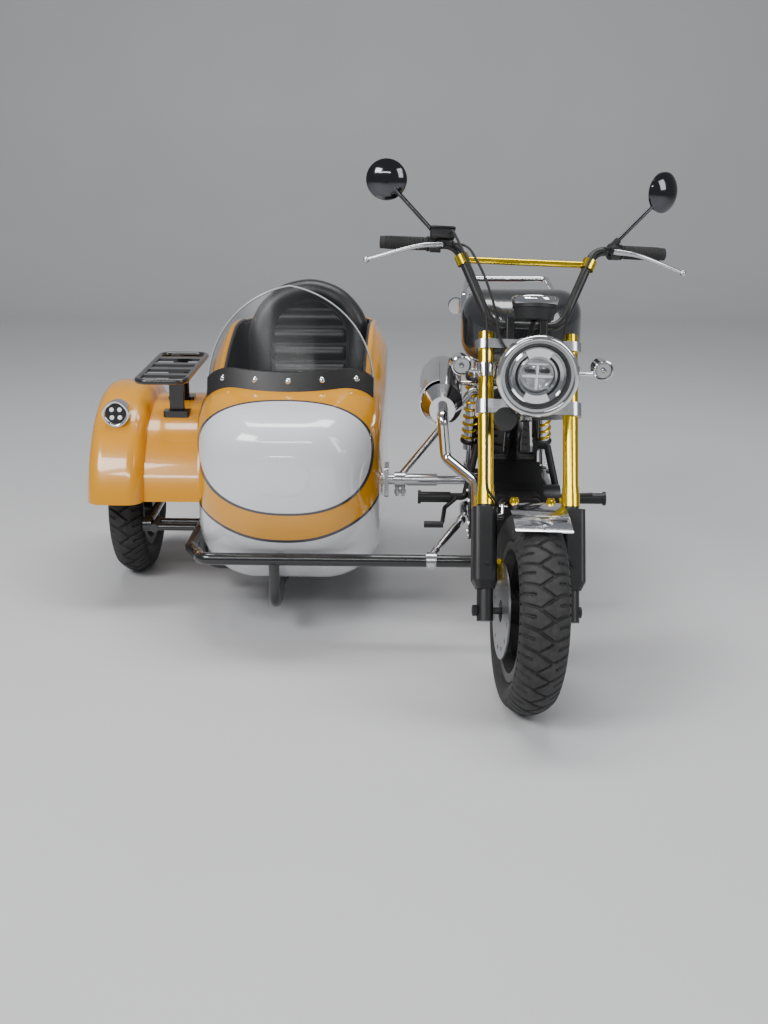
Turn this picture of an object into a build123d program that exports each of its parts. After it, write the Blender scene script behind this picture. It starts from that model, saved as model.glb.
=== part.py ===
from build123d import *
import os
from math import cos, radians, sin, sqrt

# Sidecar motorcycle: a small retro motorcycle with a single-seat sidecar on its right.
# Millimetres. +X is the bike's left, +Y is rearwards, +Z is up.
# The origin is on the floor, in the middle of the whole outfit.

os.makedirs("parts", exist_ok=True)

# Where the outfit stands
BIKE_X = 391.0              # the bike's centre plane
FRONT_AXLE_Y = -607.0       # distances rearwards start here, beside the front axle
CAR_X = -203.0              # the sidecar body's centre plane

# Running gear
WHEELBASE = 1145.0
CASTER = 25.0               # steering axis leans back from upright
TRAIL = 76.4
STEER_REST = 7.0            # parked with the bars turned a little to the left
FRONT_TYRE_R = 236.0
FRONT_TYRE_W = 110.0
REAR_TYRE_R = 256.0
REAR_TYRE_W = 130.0
BIKE_RIM_R = 152.0
SIDE_TYRE_R = 215.0
SIDE_TYRE_W = 98.0
SIDE_RIM_R = 127.0
SIDE_WHEEL_X = -699.0       # middle of the sidecar's wheel
SIDE_AXLE_Y = 958.0         # behind the front axle

# Common clearances
FIT = 0.3                   # between pieces that seat on each other
RUN = 0.4                   # round a turning axle

# Fork, measured along the steering axis from a mark above the front axle
AXLE_DOWN = 13.24            # from that mark down to the axle
FOOT_Y = 27.64
FOOT_Z = 235.11
FORK_HALF = 100.0           # each leg's distance from the centre plane
FORK_TUBE_R = 18.0
FORK_TUBE_LOW = 231.0
FORK_TUBE_HIGH = 640.0
LOWER_YOKE_UP = 460.0
LOWER_YOKE_T = 32.0
UPPER_YOKE_UP = 609.0
UPPER_YOKE_T = 22.0
STEM_R = 14.0
HEAD_TUBE_R = 25.0

# Handlebar
BAR_R = 11.0
BAR_CENTRE_UP = 668.0
GRIP_R = 16.5
GRIP_LENGTH = 112.0

# Axles
AXLE_R = 8.0

# Sidecar body
TUB_WALL = 5.0
RAIL_R = 16.0               # main tubes of the sidecar's chassis
FRONT_BAR_Y = 385.0
FRONT_BAR_Z = 222.0
KEEL_Z = 91.0
KEEL_R = 14.0
RAIL_Z = 208.0
MUDGUARD_R = 328.0
MUDGUARD_Z = 240.0          # height of the mudguard's centre
MUDGUARD_T = 5.0


def bike(x, y, z):
    """A point by its distance left of the bike's centre plane, behind the front axle and above the floor."""
    return Vector(BIKE_X + x, FRONT_AXLE_Y + y, z)


def car(x, y, z):
    """The same, with x from the sidecar body's centre plane."""
    return Vector(CAR_X + x, FRONT_AXLE_Y + y, z)


SIDE_PLANE = Plane(origin=bike(0, 0, 0), x_dir=(0, 1, 0), z_dir=(1, 0, 0))     # x rearwards, y up


def cross_plane(origin):
    """An upright plane across the outfit: x to the bike's left, y up, facing forwards."""
    return Plane(origin=origin, x_dir=(1, 0, 0), z_dir=(0, -1, 0))


UP_FORK = Vector(0, sin(radians(CASTER)), cos(radians(CASTER)))
AHEAD = Vector(0, -cos(radians(CASTER)), sin(radians(CASTER)))
FORK_AHEAD = FRONT_TYRE_R * sin(radians(CASTER)) - TRAIL * cos(radians(CASTER))
FORK_FOOT = bike(0, FOOT_Y, FOOT_Z)
FRONT_AXLE = FORK_FOOT + AHEAD * FORK_AHEAD - UP_FORK * AXLE_DOWN
FORK_BASE = Plane(origin=FORK_FOOT, x_dir=(1, 0, 0), z_dir=UP_FORK)            # local y runs back from the axis
STEERING_AXIS = Axis(FORK_FOOT, UP_FORK)


def fork(x, ahead, up):
    """A point by its distance left of the fork's middle, ahead of the steering axis and up along it."""
    return FORK_FOOT + Vector(x, 0, 0) + AHEAD * ahead + UP_FORK * up


def parked(piece):
    """A straight-ahead piece of the steering, turned to where the bars are parked."""
    return piece.rotate(STEERING_AXIS, STEER_REST)


def bar(points, radius, bend=0.0):
    """Add a round bar along straight runs, with bends of one radius, to the open part."""
    with BuildLine() as route:
        if bend:
            FilletPolyline(*points, radius=bend)
        else:
            Polyline(*points)
    with BuildSketch(Plane(origin=route.line @ 0, z_dir=route.line % 0)) as end_face:
        Circle(radius)
    sweep(end_face.sketch, path=route.line)


def rod(start, end, radius, mode=Mode.ADD):
    """Add or cut a straight round rod from one point to another."""
    run = end - start
    with BuildSketch(Plane(origin=start, z_dir=run)) as end_face:
        Circle(radius)
    extrude(end_face.sketch, amount=run.length, mode=mode)


def tyre(hub, radius, width, rim_radius):
    """A tyre's ring about an axle along X."""
    bead = 0.36 * width
    flange = 12.0
    shoulder_r = radius - 0.2 * width
    shoulder_x = 0.45 * width
    side_r = (rim_radius + flange + shoulder_r) / 2
    with BuildPart() as ring:
        with BuildSketch(cross_plane(hub)):
            with BuildLine():
                Polyline((-bead, rim_radius + flange), (-bead, rim_radius), (bead, rim_radius),
                         (bead, rim_radius + flange))
                ThreePointArc((bead, rim_radius + flange), (width / 2, side_r), (shoulder_x, shoulder_r))
                ThreePointArc((shoulder_x, shoulder_r), (0, radius), (-shoulder_x, shoulder_r))
                ThreePointArc((-shoulder_x, shoulder_r), (-width / 2, side_r), (-bead, rim_radius + flange))
            make_face()
        revolve(axis=Axis(hub, (1, 0, 0)))
    return ring


def cast_wheel(hub, tyre_width, rim_radius, hub_half, spokes):
    """A rim, its spokes and its hub, bored for the axle."""
    bead = 0.36 * tyre_width + FIT
    flange_t = 4.0
    flange_r = rim_radius + 10.0
    seat_r = rim_radius - FIT
    well_r = rim_radius - 18.0
    hub_r = 30.0
    spoke_t = 16.0
    with BuildPart() as wheel:
        with BuildSketch(cross_plane(hub)):
            Polygon((-bead - flange_t, flange_r), (-bead, flange_r), (-bead, seat_r), (bead, seat_r),
                    (bead, flange_r), (bead + flange_t, flange_r), (bead + flange_t, seat_r - 10),
                    (bead * 0.5, well_r), (-bead * 0.5, well_r), (-bead - flange_t, seat_r - 10), align=None)
            with Locations((0, hub_r / 2)):
                Rectangle(2 * hub_half, hub_r)
        revolve(axis=Axis(hub, (1, 0, 0)))
        with BuildSketch(Plane(origin=hub - Vector(spoke_t / 2, 0, 0), x_dir=(0, 1, 0), z_dir=(1, 0, 0))):
            with PolarLocations(0, spokes):
                Polygon((hub_r - 6, -13), (well_r + 3, -9), (well_r + 3, 9), (hub_r - 6, 13), align=None)
        extrude(amount=spoke_t)
        with BuildSketch(Plane(origin=hub - Vector(hub_half, 0, 0), z_dir=(1, 0, 0))):
            Circle(AXLE_R + RUN)
        extrude(amount=2 * hub_half, mode=Mode.SUBTRACT)
    return wheel


# Front wheel

FRONT_HUB_HALF = 56.0
DISC_X = -62.0
DISC_T = 4.0
DISC_R = 110.0

front_tyre = tyre(FRONT_AXLE, FRONT_TYRE_R, FRONT_TYRE_W, BIKE_RIM_R)
front_tyre.part = parked(front_tyre.part)

front_rim = cast_wheel(FRONT_AXLE, FRONT_TYRE_W, BIKE_RIM_R, FRONT_HUB_HALF, 5)
front_rim.part = parked(front_rim.part)

with BuildPart() as front_disc:
    with BuildSketch(Plane(origin=FRONT_AXLE + Vector(DISC_X - DISC_T / 2, 0, 0), z_dir=(1, 0, 0))):
        Circle(DISC_R)
        Circle(26, mode=Mode.SUBTRACT)
        with PolarLocations(88, 12):
            Circle(6, mode=Mode.SUBTRACT)
    extrude(amount=DISC_T)
    with BuildSketch(Plane(origin=FRONT_AXLE + Vector(DISC_X + DISC_T / 2, 0, 0), z_dir=(1, 0, 0))):
        Circle(44)
        Circle(26, mode=Mode.SUBTRACT)
    extrude(amount=-DISC_X - DISC_T / 2 - FRONT_HUB_HALF)
front_disc.part = parked(front_disc.part)

# Rear wheel

REAR_AXLE = bike(0, WHEELBASE, REAR_TYRE_R)
REAR_HUB_HALF = 62.0
CHAIN_X = 80.0
SPROCKET_R = 68.0
SPROCKET_T = 6.0

rear_tyre = tyre(REAR_AXLE, REAR_TYRE_R, REAR_TYRE_W, BIKE_RIM_R)
rear_rim = cast_wheel(REAR_AXLE, REAR_TYRE_W, BIKE_RIM_R, REAR_HUB_HALF, 5)

with BuildPart() as rear_sprocket:
    with BuildSketch(Plane(origin=REAR_AXLE + Vector(CHAIN_X - SPROCKET_T / 2, 0, 0), z_dir=(1, 0, 0))):
        Circle(SPROCKET_R)
        with PolarLocations(48, 6):
            Circle(9, mode=Mode.SUBTRACT)
    extrude(amount=SPROCKET_T)
    with BuildSketch(Plane(origin=REAR_AXLE + Vector(REAR_HUB_HALF, 0, 0), z_dir=(1, 0, 0))):
        Circle(32)
    extrude(amount=CHAIN_X - SPROCKET_T / 2 - REAR_HUB_HALF)
    with BuildSketch(Plane(origin=REAR_AXLE + Vector(REAR_HUB_HALF, 0, 0), z_dir=(1, 0, 0))):
        Circle(AXLE_R + RUN)
    extrude(amount=60, mode=Mode.SUBTRACT)

# Sidecar wheel

SIDE_AXLE = Vector(SIDE_WHEEL_X, FRONT_AXLE_Y + SIDE_AXLE_Y, SIDE_TYRE_R)
SIDE_HUB_HALF = 46.0
side_tyre = tyre(SIDE_AXLE, SIDE_TYRE_R, SIDE_TYRE_W, SIDE_RIM_R)
side_rim = cast_wheel(SIDE_AXLE, SIDE_TYRE_W, SIDE_RIM_R, SIDE_HUB_HALF, 5)

# Fork

with BuildPart() as fork_tubes:
    with BuildSketch(FORK_BASE.offset(FORK_TUBE_LOW)):
        with Locations((-FORK_HALF, -FORK_AHEAD), (FORK_HALF, -FORK_AHEAD)):
            Circle(FORK_TUBE_R)
    extrude(amount=FORK_TUBE_HIGH - FORK_TUBE_LOW)
    with BuildSketch(FORK_BASE.offset(FORK_TUBE_LOW)):
        with Locations((-FORK_HALF, -FORK_AHEAD), (FORK_HALF, -FORK_AHEAD)):
            Circle(FORK_TUBE_R + 3)
    extrude(amount=30)
    with BuildSketch(FORK_BASE.offset(FORK_TUBE_LOW + 30)):
        with Locations((-FORK_HALF, -FORK_AHEAD), (FORK_HALF, -FORK_AHEAD)):
            Circle(FORK_TUBE_R + 1.5)
    extrude(amount=16)
fork_tubes.part = parked(fork_tubes.part)

LEG_R = 19.0
AXLE_RIGHT = -130.0
AXLE_LEFT = 124.0
LEG_LOW = -AXLE_DOWN - 24
GUARD_LOW = 56.0
GUARD_HIGH = 224.0
GUARD_TAPER = 20.0
GUARD_X = FORK_HALF + 3
GUARD_W = 56.0
GUARD_DEPTH = 58.0

with BuildPart() as fork_lowers:
    with BuildSketch(FORK_BASE.offset(LEG_LOW)):
        with Locations((-FORK_HALF, -FORK_AHEAD), (FORK_HALF, -FORK_AHEAD)):
            Circle(LEG_R)
    extrude(amount=FORK_TUBE_LOW - FIT - LEG_LOW)
    with BuildSketch(FORK_BASE.offset(GUARD_LOW)):
        with Locations((-GUARD_X, -FORK_AHEAD), (GUARD_X, -FORK_AHEAD)):
            RectangleRounded(GUARD_W, GUARD_DEPTH, 14)
    extrude(amount=GUARD_HIGH - GUARD_LOW)
    for side in (-1, 1):
        with BuildSketch(FORK_BASE.offset(GUARD_LOW)):
            with Locations((side * GUARD_X, -FORK_AHEAD)):
                RectangleRounded(GUARD_W, GUARD_DEPTH, 14)
        with BuildSketch(FORK_BASE.offset(GUARD_LOW - GUARD_TAPER)):
            with Locations((side * FORK_HALF, -FORK_AHEAD)):
                RectangleRounded(GUARD_W - 14, GUARD_DEPTH - 16, 10)
        loft(ruled=True)
    rod(fork(AXLE_RIGHT, FORK_AHEAD, -AXLE_DOWN), fork(AXLE_LEFT, FORK_AHEAD, -AXLE_DOWN), AXLE_R)
    for end in (AXLE_RIGHT, AXLE_LEFT):
        rod(fork(end * 0.92, FORK_AHEAD, -AXLE_DOWN), fork(end * 0.99, FORK_AHEAD, -AXLE_DOWN), AXLE_R + 5)
    for leg in (-FORK_HALF, FORK_HALF):
        rod(fork(leg, FORK_AHEAD + 10, 96), fork(leg, FORK_AHEAD + GUARD_DEPTH / 2 + 4, 96), 7)
fork_lowers.part = parked(fork_lowers.part)

YOKE_FRONT = FORK_AHEAD + FORK_TUBE_R + 8
YOKE_HALF = FORK_HALF + FORK_TUBE_R + 7

with BuildPart() as fork_yokes:
    for up, thick in ((LOWER_YOKE_UP, LOWER_YOKE_T), (UPPER_YOKE_UP, UPPER_YOKE_T)):
        with BuildSketch(FORK_BASE.offset(up - thick / 2)) as yoke_shape:
            with Locations((-FORK_HALF, -FORK_AHEAD), (FORK_HALF, -FORK_AHEAD)):
                Circle(FORK_TUBE_R + 8)
            Circle(27)
            make_hull()
            with Locations((-FORK_HALF, -FORK_AHEAD), (FORK_HALF, -FORK_AHEAD)):
                Circle(FORK_TUBE_R + FIT, mode=Mode.SUBTRACT)
        extrude(amount=thick)
    rod(fork(0, 0, LOWER_YOKE_UP - 22), fork(0, 0, UPPER_YOKE_UP + 18), STEM_R)
    rod(fork(0, 0, UPPER_YOKE_UP), fork(0, 0, UPPER_YOKE_UP + 20), 17)
fork_yokes.part = parked(fork_yokes.part)

# Handlebar

BAR_END = (342.0, -34.0, 872.0)         # left, ahead of the steering axis, up along it
BAR_BEND = (168.0, -2.0, 862.0)
BAR_FOOT = (84.0, 0.0, BAR_CENTRE_UP)
RISER_X = 40.0


def bar_point(point, hand):
    """A point of the handlebar, on the left for hand 1 and on the right for hand -1."""
    return fork(hand * point[0], point[1], point[2])


def toward(start, end, distance):
    """The point that lies a distance from start on the way to end."""
    return start + (end - start).normalized() * distance


with BuildPart() as handlebar:
    bar([bar_point(BAR_END, -1), bar_point(BAR_BEND, -1), bar_point(BAR_FOOT, -1), bar_point(BAR_FOOT, 1),
         bar_point(BAR_BEND, 1), bar_point(BAR_END, 1)], BAR_R, 45)
    for side in (-1, 1):
        with BuildSketch(FORK_BASE.offset(UPPER_YOKE_UP + UPPER_YOKE_T / 2)):
            with Locations((side * RISER_X, 0)):
                RectangleRounded(20, 34, 4)
        extrude(amount=BAR_CENTRE_UP + 16 - UPPER_YOKE_UP - UPPER_YOKE_T / 2)
handlebar.part = parked(handlebar.part)

CROSSBAR_UP = 826.0
CROSSBAR_R = 8.0
lean = (CROSSBAR_UP - BAR_FOOT[2]) / (BAR_BEND[2] - BAR_FOOT[2])
CROSSBAR_HALF = BAR_FOOT[0] + lean * (BAR_BEND[0] - BAR_FOOT[0])
CROSSBAR_AHEAD = BAR_FOOT[1] + lean * (BAR_BEND[1] - BAR_FOOT[1])

with BuildPart() as crossbar:
    rod(fork(-CROSSBAR_HALF, CROSSBAR_AHEAD, CROSSBAR_UP), fork(CROSSBAR_HALF, CROSSBAR_AHEAD, CROSSBAR_UP), CROSSBAR_R)
    for side in (-1, 1):
        centre = fork(side * CROSSBAR_HALF, CROSSBAR_AHEAD, CROSSBAR_UP)
        along = (bar_point(BAR_BEND, side) - bar_point(BAR_FOOT, side)).normalized()
        rod(centre - along * 12, centre + along * 12, BAR_R + 6)
    for side in (-1, 1):
        rod(bar_point(BAR_FOOT, side), bar_point(BAR_BEND, side), BAR_R + FIT, Mode.SUBTRACT)
crossbar.part = parked(crossbar.part)

with BuildPart() as grips:
    for side in (-1, 1):
        end = bar_point(BAR_END, side)
        inner = toward(end, bar_point(BAR_BEND, side), GRIP_LENGTH)
        outer = toward(end, bar_point(BAR_BEND, side), -6)
        rod(outer, inner, GRIP_R)
        rod(toward(end, bar_point(BAR_BEND, side), -FIT), inner, BAR_R + FIT, Mode.SUBTRACT)
        rod(toward(end, bar_point(BAR_BEND, side), -16), outer, 13)
grips.part = parked(grips.part)

LEVER_PIVOT = (206.0, 34.0, 850.0)
LEVER_KNEE = (262.0, 38.0, 842.0)
LEVER_TIP = (378.0, 4.0, 816.0)
CABLE_EXIT = (182.0, 44.0, 850.0)
MIRROR = (340.0, 18.0, 1009.0)
MIRROR_R = 49.0
MIRROR_FOOT = (222.0, 8.0, 886.0)
MIRROR_TURN = {-1: 8.0, 1: 34.0}        # how far each is turned in towards the rider

with BuildPart() as lever_sets:
    for side in (-1, 1):
        inner = toward(bar_point(BAR_END, side), bar_point(BAR_BEND, side), GRIP_LENGTH + 2)
        perch_end = toward(bar_point(BAR_END, side), bar_point(BAR_BEND, side), GRIP_LENGTH + 28)
        rod(inner, perch_end, BAR_R + 9)
        rod(inner, perch_end, BAR_R + FIT, Mode.SUBTRACT)
        bar([bar_point(LEVER_PIVOT, side), bar_point(LEVER_KNEE, side), bar_point(LEVER_TIP, side)], 5.5, 60)
        rod(bar_point(LEVER_TIP, side), toward(bar_point(LEVER_TIP, side), bar_point(LEVER_KNEE, side), -9), 8)
        foot = fork(side * 214, 15, 864)
        rod(foot, bar_point(LEVER_PIVOT, side), 9)
        mirror_foot = bar_point(MIRROR_FOOT, side)
        rod(toward(mirror_foot, bar_point(MIRROR, side), -26), mirror_foot, 8)
        rod(bar_point(BAR_END, side), toward(bar_point(BAR_END, side), bar_point(BAR_BEND, side), 150), BAR_R + FIT,
            Mode.SUBTRACT)
        rod(foot, toward(bar_point(CABLE_EXIT, side), foot, FIT), 6)
    with BuildSketch(Plane(origin=fork(-206, 30, 862), x_dir=(1, 0, 0), z_dir=UP_FORK)):
        RectangleRounded(58, 30, 6)
    extrude(amount=26)
lever_sets.part = parked(lever_sets.part)

with BuildPart() as mirrors:
    for side in (-1, 1):
        head = bar_point(MIRROR, side)
        foot = bar_point(MIRROR_FOOT, side)
        rod(toward(foot, head, FIT), head, 5)
        look = Vector(-side * sin(radians(MIRROR_TURN[side])), cos(radians(MIRROR_TURN[side])), 0)
        with BuildSketch(Plane(origin=head, x_dir=look, z_dir=Vector(0, 0, 1))):
            with BuildLine():
                ThreePointArc((-14, 0), (-8, 30), (6, MIRROR_R))
                Polyline((6, MIRROR_R), (12, MIRROR_R), (12, 0), (-14, 0))
            make_face()
        revolve(axis=Axis(head, look))
mirrors.part = parked(mirrors.part)

# Headlight, meter, signals and horn

LAMP_R = 93.0
LAMP_Z = 760.0
LAMP_FRONT = 108.0
LENS_R = 84.0
LENS_T = 3.0
LENS_DOME = 10.0
LENS_BALL = (LENS_R ** 2 + LENS_DOME ** 2) / (2 * LENS_DOME)
LAMP_AXIS = Axis(bike(0, 0, LAMP_Z), (0, 1, 0))

with BuildPart() as headlight:
    with BuildSketch(Plane(origin=bike(0, LAMP_FRONT, LAMP_Z), x_dir=(0, 1, 0), z_dir=(1, 0, 0))):
        with BuildLine():
            Polyline((102, 0), (46, 0), (42, 40), (20, LENS_R - 10), (0, LENS_R - 8), (0, LAMP_R - 6), (6, LAMP_R),
                     (20, LAMP_R), (26, LAMP_R - 5))
            ThreePointArc((26, LAMP_R - 5), (72, LAMP_R - 26), (98, 36))
            Line((98, 36), (102, 0))
        make_face()
    revolve(axis=LAMP_AXIS)
headlight.part = parked(headlight.part)

with BuildPart() as headlight_lens:
    with BuildSketch(Plane(origin=bike(0, LAMP_FRONT - FIT, LAMP_Z), x_dir=(0, 1, 0), z_dir=(1, 0, 0))):
        with BuildLine():
            Polyline((-LENS_T - LENS_DOME, 0), (-LENS_T, 0), (-LENS_T, LENS_R - 12), (0, LENS_R - 10), (0, LENS_R),
                     (-LENS_T, LENS_R))
            RadiusArc((-LENS_T, LENS_R), (-LENS_T - LENS_DOME, 0), -LENS_BALL)
        make_face()
    revolve(axis=LAMP_AXIS)
headlight_lens.part = parked(headlight_lens.part)

METER_R = 52.0
METER_PLANE = Plane(origin=fork(0, 104, 655), x_dir=(1, 0, 0), z_dir=(0, 0.25, 1))
with BuildPart() as meter:
    with BuildSketch(METER_PLANE):
        Circle(METER_R - 8)
    extrude(amount=26, taper=-10)
    with BuildSketch(METER_PLANE.offset(26)):
        Circle(METER_R)
    extrude(amount=22)
    rod(fork(0, YOKE_FRONT - 22, UPPER_YOKE_UP + UPPER_YOKE_T / 2 + 6), fork(0, 100, 656), 6)
    rod(fork(0, YOKE_FRONT - 22, UPPER_YOKE_UP + UPPER_YOKE_T / 2 + FIT),
        fork(0, YOKE_FRONT - 22, UPPER_YOKE_UP + UPPER_YOKE_T / 2 + 12), 9)
meter.part = parked(meter.part)

SIGNAL_R = 22.0
EAR_UP = 548.0
EAR_R = FORK_TUBE_R + 5
with BuildPart() as front_signals:
    for side in (-1, 1):
        with BuildSketch(FORK_BASE.offset(EAR_UP - 16)):
            with Locations((side * FORK_HALF, -FORK_AHEAD)):
                Circle(EAR_R)
        extrude(amount=32)
        bar([fork(side * (FORK_HALF + EAR_R - 2), FORK_AHEAD, EAR_UP), fork(side * 160, FORK_AHEAD, EAR_UP),
             fork(side * 166, 62, EAR_UP + 3)], 5, 9)
        with BuildSketch(cross_plane(fork(side * 166, 72, EAR_UP + 4) + Vector(0, 26, 0))):
            Circle(SIGNAL_R)
        extrude(amount=40)
        rod(fork(side * FORK_HALF, FORK_AHEAD, EAR_UP - 20), fork(side * FORK_HALF, FORK_AHEAD, EAR_UP + 20),
            FORK_TUBE_R + FIT, Mode.SUBTRACT)
front_signals.part = parked(front_signals.part)

HORN_R = 27.0
with BuildPart() as horn:
    with BuildSketch(Plane(origin=fork(-62, YOKE_FRONT + 5, 425), x_dir=(1, 0, 0), z_dir=AHEAD)):
        Circle(HORN_R)
    extrude(amount=20)
    rod(fork(-60, YOKE_FRONT + FIT, 450), fork(-60, YOKE_FRONT + 6, 450), 5)
horn.part = parked(horn.part)

FENDER_R = FRONT_TYRE_R + 10
FENDER_HALF = 64.0
STAY_X = FENDER_HALF - 3
STAY_UP = 205.0
STAY_TOP = FENDER_R + 2 - AXLE_DOWN
GUARD_IN = GUARD_X - GUARD_W / 2

with BuildPart() as front_fender:
    with BuildSketch(Plane(origin=FRONT_AXLE - Vector(FENDER_HALF, 0, 0), x_dir=(0, 1, 0), z_dir=(1, 0, 0))):
        Circle(FENDER_R + 4)
        Circle(FENDER_R, mode=Mode.SUBTRACT)
        Polygon((0, 0), (-196, 420), (-500, 420), (-500, -400), (400, -400), (400, 420), (250, 420), align=None,
                mode=Mode.SUBTRACT)
    extrude(amount=2 * FENDER_HALF)
    for side in (-1, 1):
        rod(fork(side * STAY_X, FORK_AHEAD, STAY_TOP), fork(side * STAY_X, FORK_AHEAD, STAY_UP - 5), 4)
        rod(fork(side * (STAY_X - 3), FORK_AHEAD, STAY_UP), fork(side * (GUARD_IN - FIT), FORK_AHEAD, STAY_UP), 7)
front_fender.part = parked(front_fender.part)

CALIPER_HALF = 27.0
CALIPER_X = -74.0
GUARD_BACK = FORK_AHEAD - GUARD_DEPTH / 2

with BuildPart() as brake_caliper:
    with BuildSketch(Plane(origin=fork(CALIPER_X, GUARD_BACK - FIT - CALIPER_HALF, 60), x_dir=(1, 0, 0), z_dir=UP_FORK)):
        RectangleRounded(48, 2 * CALIPER_HALF, 8)
    extrude(amount=50)
    with BuildSketch(Plane(origin=FRONT_AXLE + Vector(DISC_X - 7, 0, 0), z_dir=(1, 0, 0))):
        Circle(DISC_R + 6)
    extrude(amount=14, mode=Mode.SUBTRACT)
brake_caliper.part = parked(brake_caliper.part)

# Bike frame

PLATE_X = 64.0
PIVOT_Y = 745.0
PIVOT_Z = 300.0
STAND_X = 92.0
STAND_Y = 770.0
STAND_Z = 214.0
STAND_T = 14.0
STAND_PIN_R = 8.0
SPINE = (
    # y, z
    (272.0, 730.0),
    (560.0, 640.0),
    (730.0, 450.0),
    (745.0, 392.0),
)
SPINE_R = 24.0
SUBFRAME_R = 12.0
SUBFRAME = (
    # x, y, z
    (30.0, 400.0, 676.0),
    (72.0, 640.0, 655.0),
    (78.0, 1235.0, 690.0),
)


def subframe_point(side, y):
    """The centre of the seat's rail at a distance behind the front axle."""
    (x0, y0, z0), (x1, y1, z1) = SUBFRAME[1:]
    share = (y - y0) / (y1 - y0)
    return bike(side * (x0 + share * (x1 - x0)), y, z0 + share * (z1 - z0))


with BuildPart() as bike_frame:
    with BuildSketch(FORK_BASE.offset(LOWER_YOKE_UP + LOWER_YOKE_T / 2 + 5)):
        Circle(HEAD_TUBE_R)
    extrude(amount=UPPER_YOKE_UP - UPPER_YOKE_T / 2 - LOWER_YOKE_UP - LOWER_YOKE_T / 2 - 10)
    bar([bike(0, y, z) for y, z in SPINE], SPINE_R, 70)
    for side in (-1, 1):
        bar([bike(side * x, y, z) for x, y, z in SUBFRAME], SUBFRAME_R, 120)
        with BuildSketch(Plane(origin=bike(side * PLATE_X - 4, 0, 0), x_dir=(0, 1, 0), z_dir=(1, 0, 0))):
            with BuildLine():
                Polyline((722, 262), (790, 262), (800, 420), (760, 480), (722, 460), (722, 262))
            make_face()
        extrude(amount=8)
        bar([bike(side * PLATE_X, 760, 460), bike(side * 76, 1000, 664)], 10)
    rod(bike(-PLATE_X, 745, 400), bike(PLATE_X, 745, 400), 20)
    rod(bike(-78, 900, 669), bike(78, 900, 669), 9)
    rod(bike(-78, 1225, 690), bike(78, 1225, 690), 9)
    rod(bike(-100, 1010, 668), bike(100, 1010, 668), 8)
    rod(bike(PLATE_X, STAND_Y, 290), bike(PLATE_X, STAND_Y, STAND_Z - 12), 8)
    rod(bike(PLATE_X, STAND_Y, STAND_Z), bike(STAND_X + STAND_T + 6, STAND_Y, STAND_Z), STAND_PIN_R)
    rod(fork(0, 0, LOWER_YOKE_UP), fork(0, 0, UPPER_YOKE_UP), STEM_R + 1, Mode.SUBTRACT)
    for side in (-1, 1):
        rod(bike(0, PIVOT_Y, PIVOT_Z), bike(side * 200, PIVOT_Y, PIVOT_Z), 8 + FIT, Mode.SUBTRACT)

# Engine

CASE_HALF = 68.0
CYLINDER_FOOT = bike(0, 452, 330)
CYLINDER_AIM = Vector(0, -cos(radians(10)), sin(radians(10)))
CYLINDER_PLANE = Plane(origin=CYLINDER_FOOT, x_dir=(1, 0, 0), z_dir=CYLINDER_AIM)

with BuildPart() as engine:
    with BuildSketch(SIDE_PLANE):
        with BuildLine():
            Polyline((456, 250), (500, 222), (680, 222), (712, 262), (712, 372), (640, 420), (500, 400), (456, 384),
                     (456, 250))
        make_face()
    extrude(amount=CASE_HALF, both=True)
    with BuildSketch(Plane(origin=bike(-CASE_HALF, 600, 305), z_dir=(-1, 0, 0))):
        Circle(88)
    extrude(amount=52)
    with BuildSketch(Plane(origin=bike(CASE_HALF, 560, 305), z_dir=(1, 0, 0))):
        Circle(72)
    extrude(amount=50)
    rod(bike(CASE_HALF, 690, 300), bike(CHAIN_X + 6, 690, 300), 12)
    with BuildSketch(SIDE_PLANE):
        with Locations((715, 325)):
            Rectangle(40, 50)
    extrude(amount=PLATE_X - 4 - FIT, both=True)

with BuildPart() as cylinder:
    with BuildSketch(CYLINDER_PLANE):
        RectangleRounded(88, 88, 20)
    extrude(amount=96)
    for k in range(9):
        with BuildSketch(CYLINDER_PLANE.offset(8 + 10 * k)):
            RectangleRounded(124, 118, 24)
        extrude(amount=4)
    with BuildSketch(SIDE_PLANE):
        with Locations((456 - FIT + 50, 330)):
            Rectangle(100, 200)
    extrude(amount=100, both=True, mode=Mode.SUBTRACT)

with BuildPart() as cylinder_head:
    with BuildSketch(CYLINDER_PLANE.offset(96)):
        RectangleRounded(112, 108, 22)
    extrude(amount=52)
    with BuildSketch(CYLINDER_PLANE.offset(110)):
        RectangleRounded(140, 70, 20)
    extrude(amount=26)

HEADER_R = 14.0
MUFFLER_FOOT = bike(-194, 640, 560)
MUFFLER_AIM = Vector(0, 1, 0.10).normalized()
MUFFLER_HALF = (55.0, 59.0)      # across, up
MUFFLER_CONE = 50.0
MUFFLER_BODY = 260.0
MUFFLER_PLANE = Plane(origin=MUFFLER_FOOT, x_dir=(1, 0, 0), z_dir=MUFFLER_AIM)
PORT = CYLINDER_PLANE.from_local_coords(Vector(0, -54 - FIT, 122))
PORT_DOWN = CYLINDER_PLANE.from_local_coords(Vector(0, -96, 122))
with BuildPart() as exhaust_pipe:
    bar([PORT, PORT_DOWN, bike(-104, 350, 250), bike(-104, 500, 398), bike(-184, 584, 444),
         MUFFLER_FOOT - MUFFLER_AIM * 54, MUFFLER_FOOT - MUFFLER_AIM * FIT], HEADER_R, 24)

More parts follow.
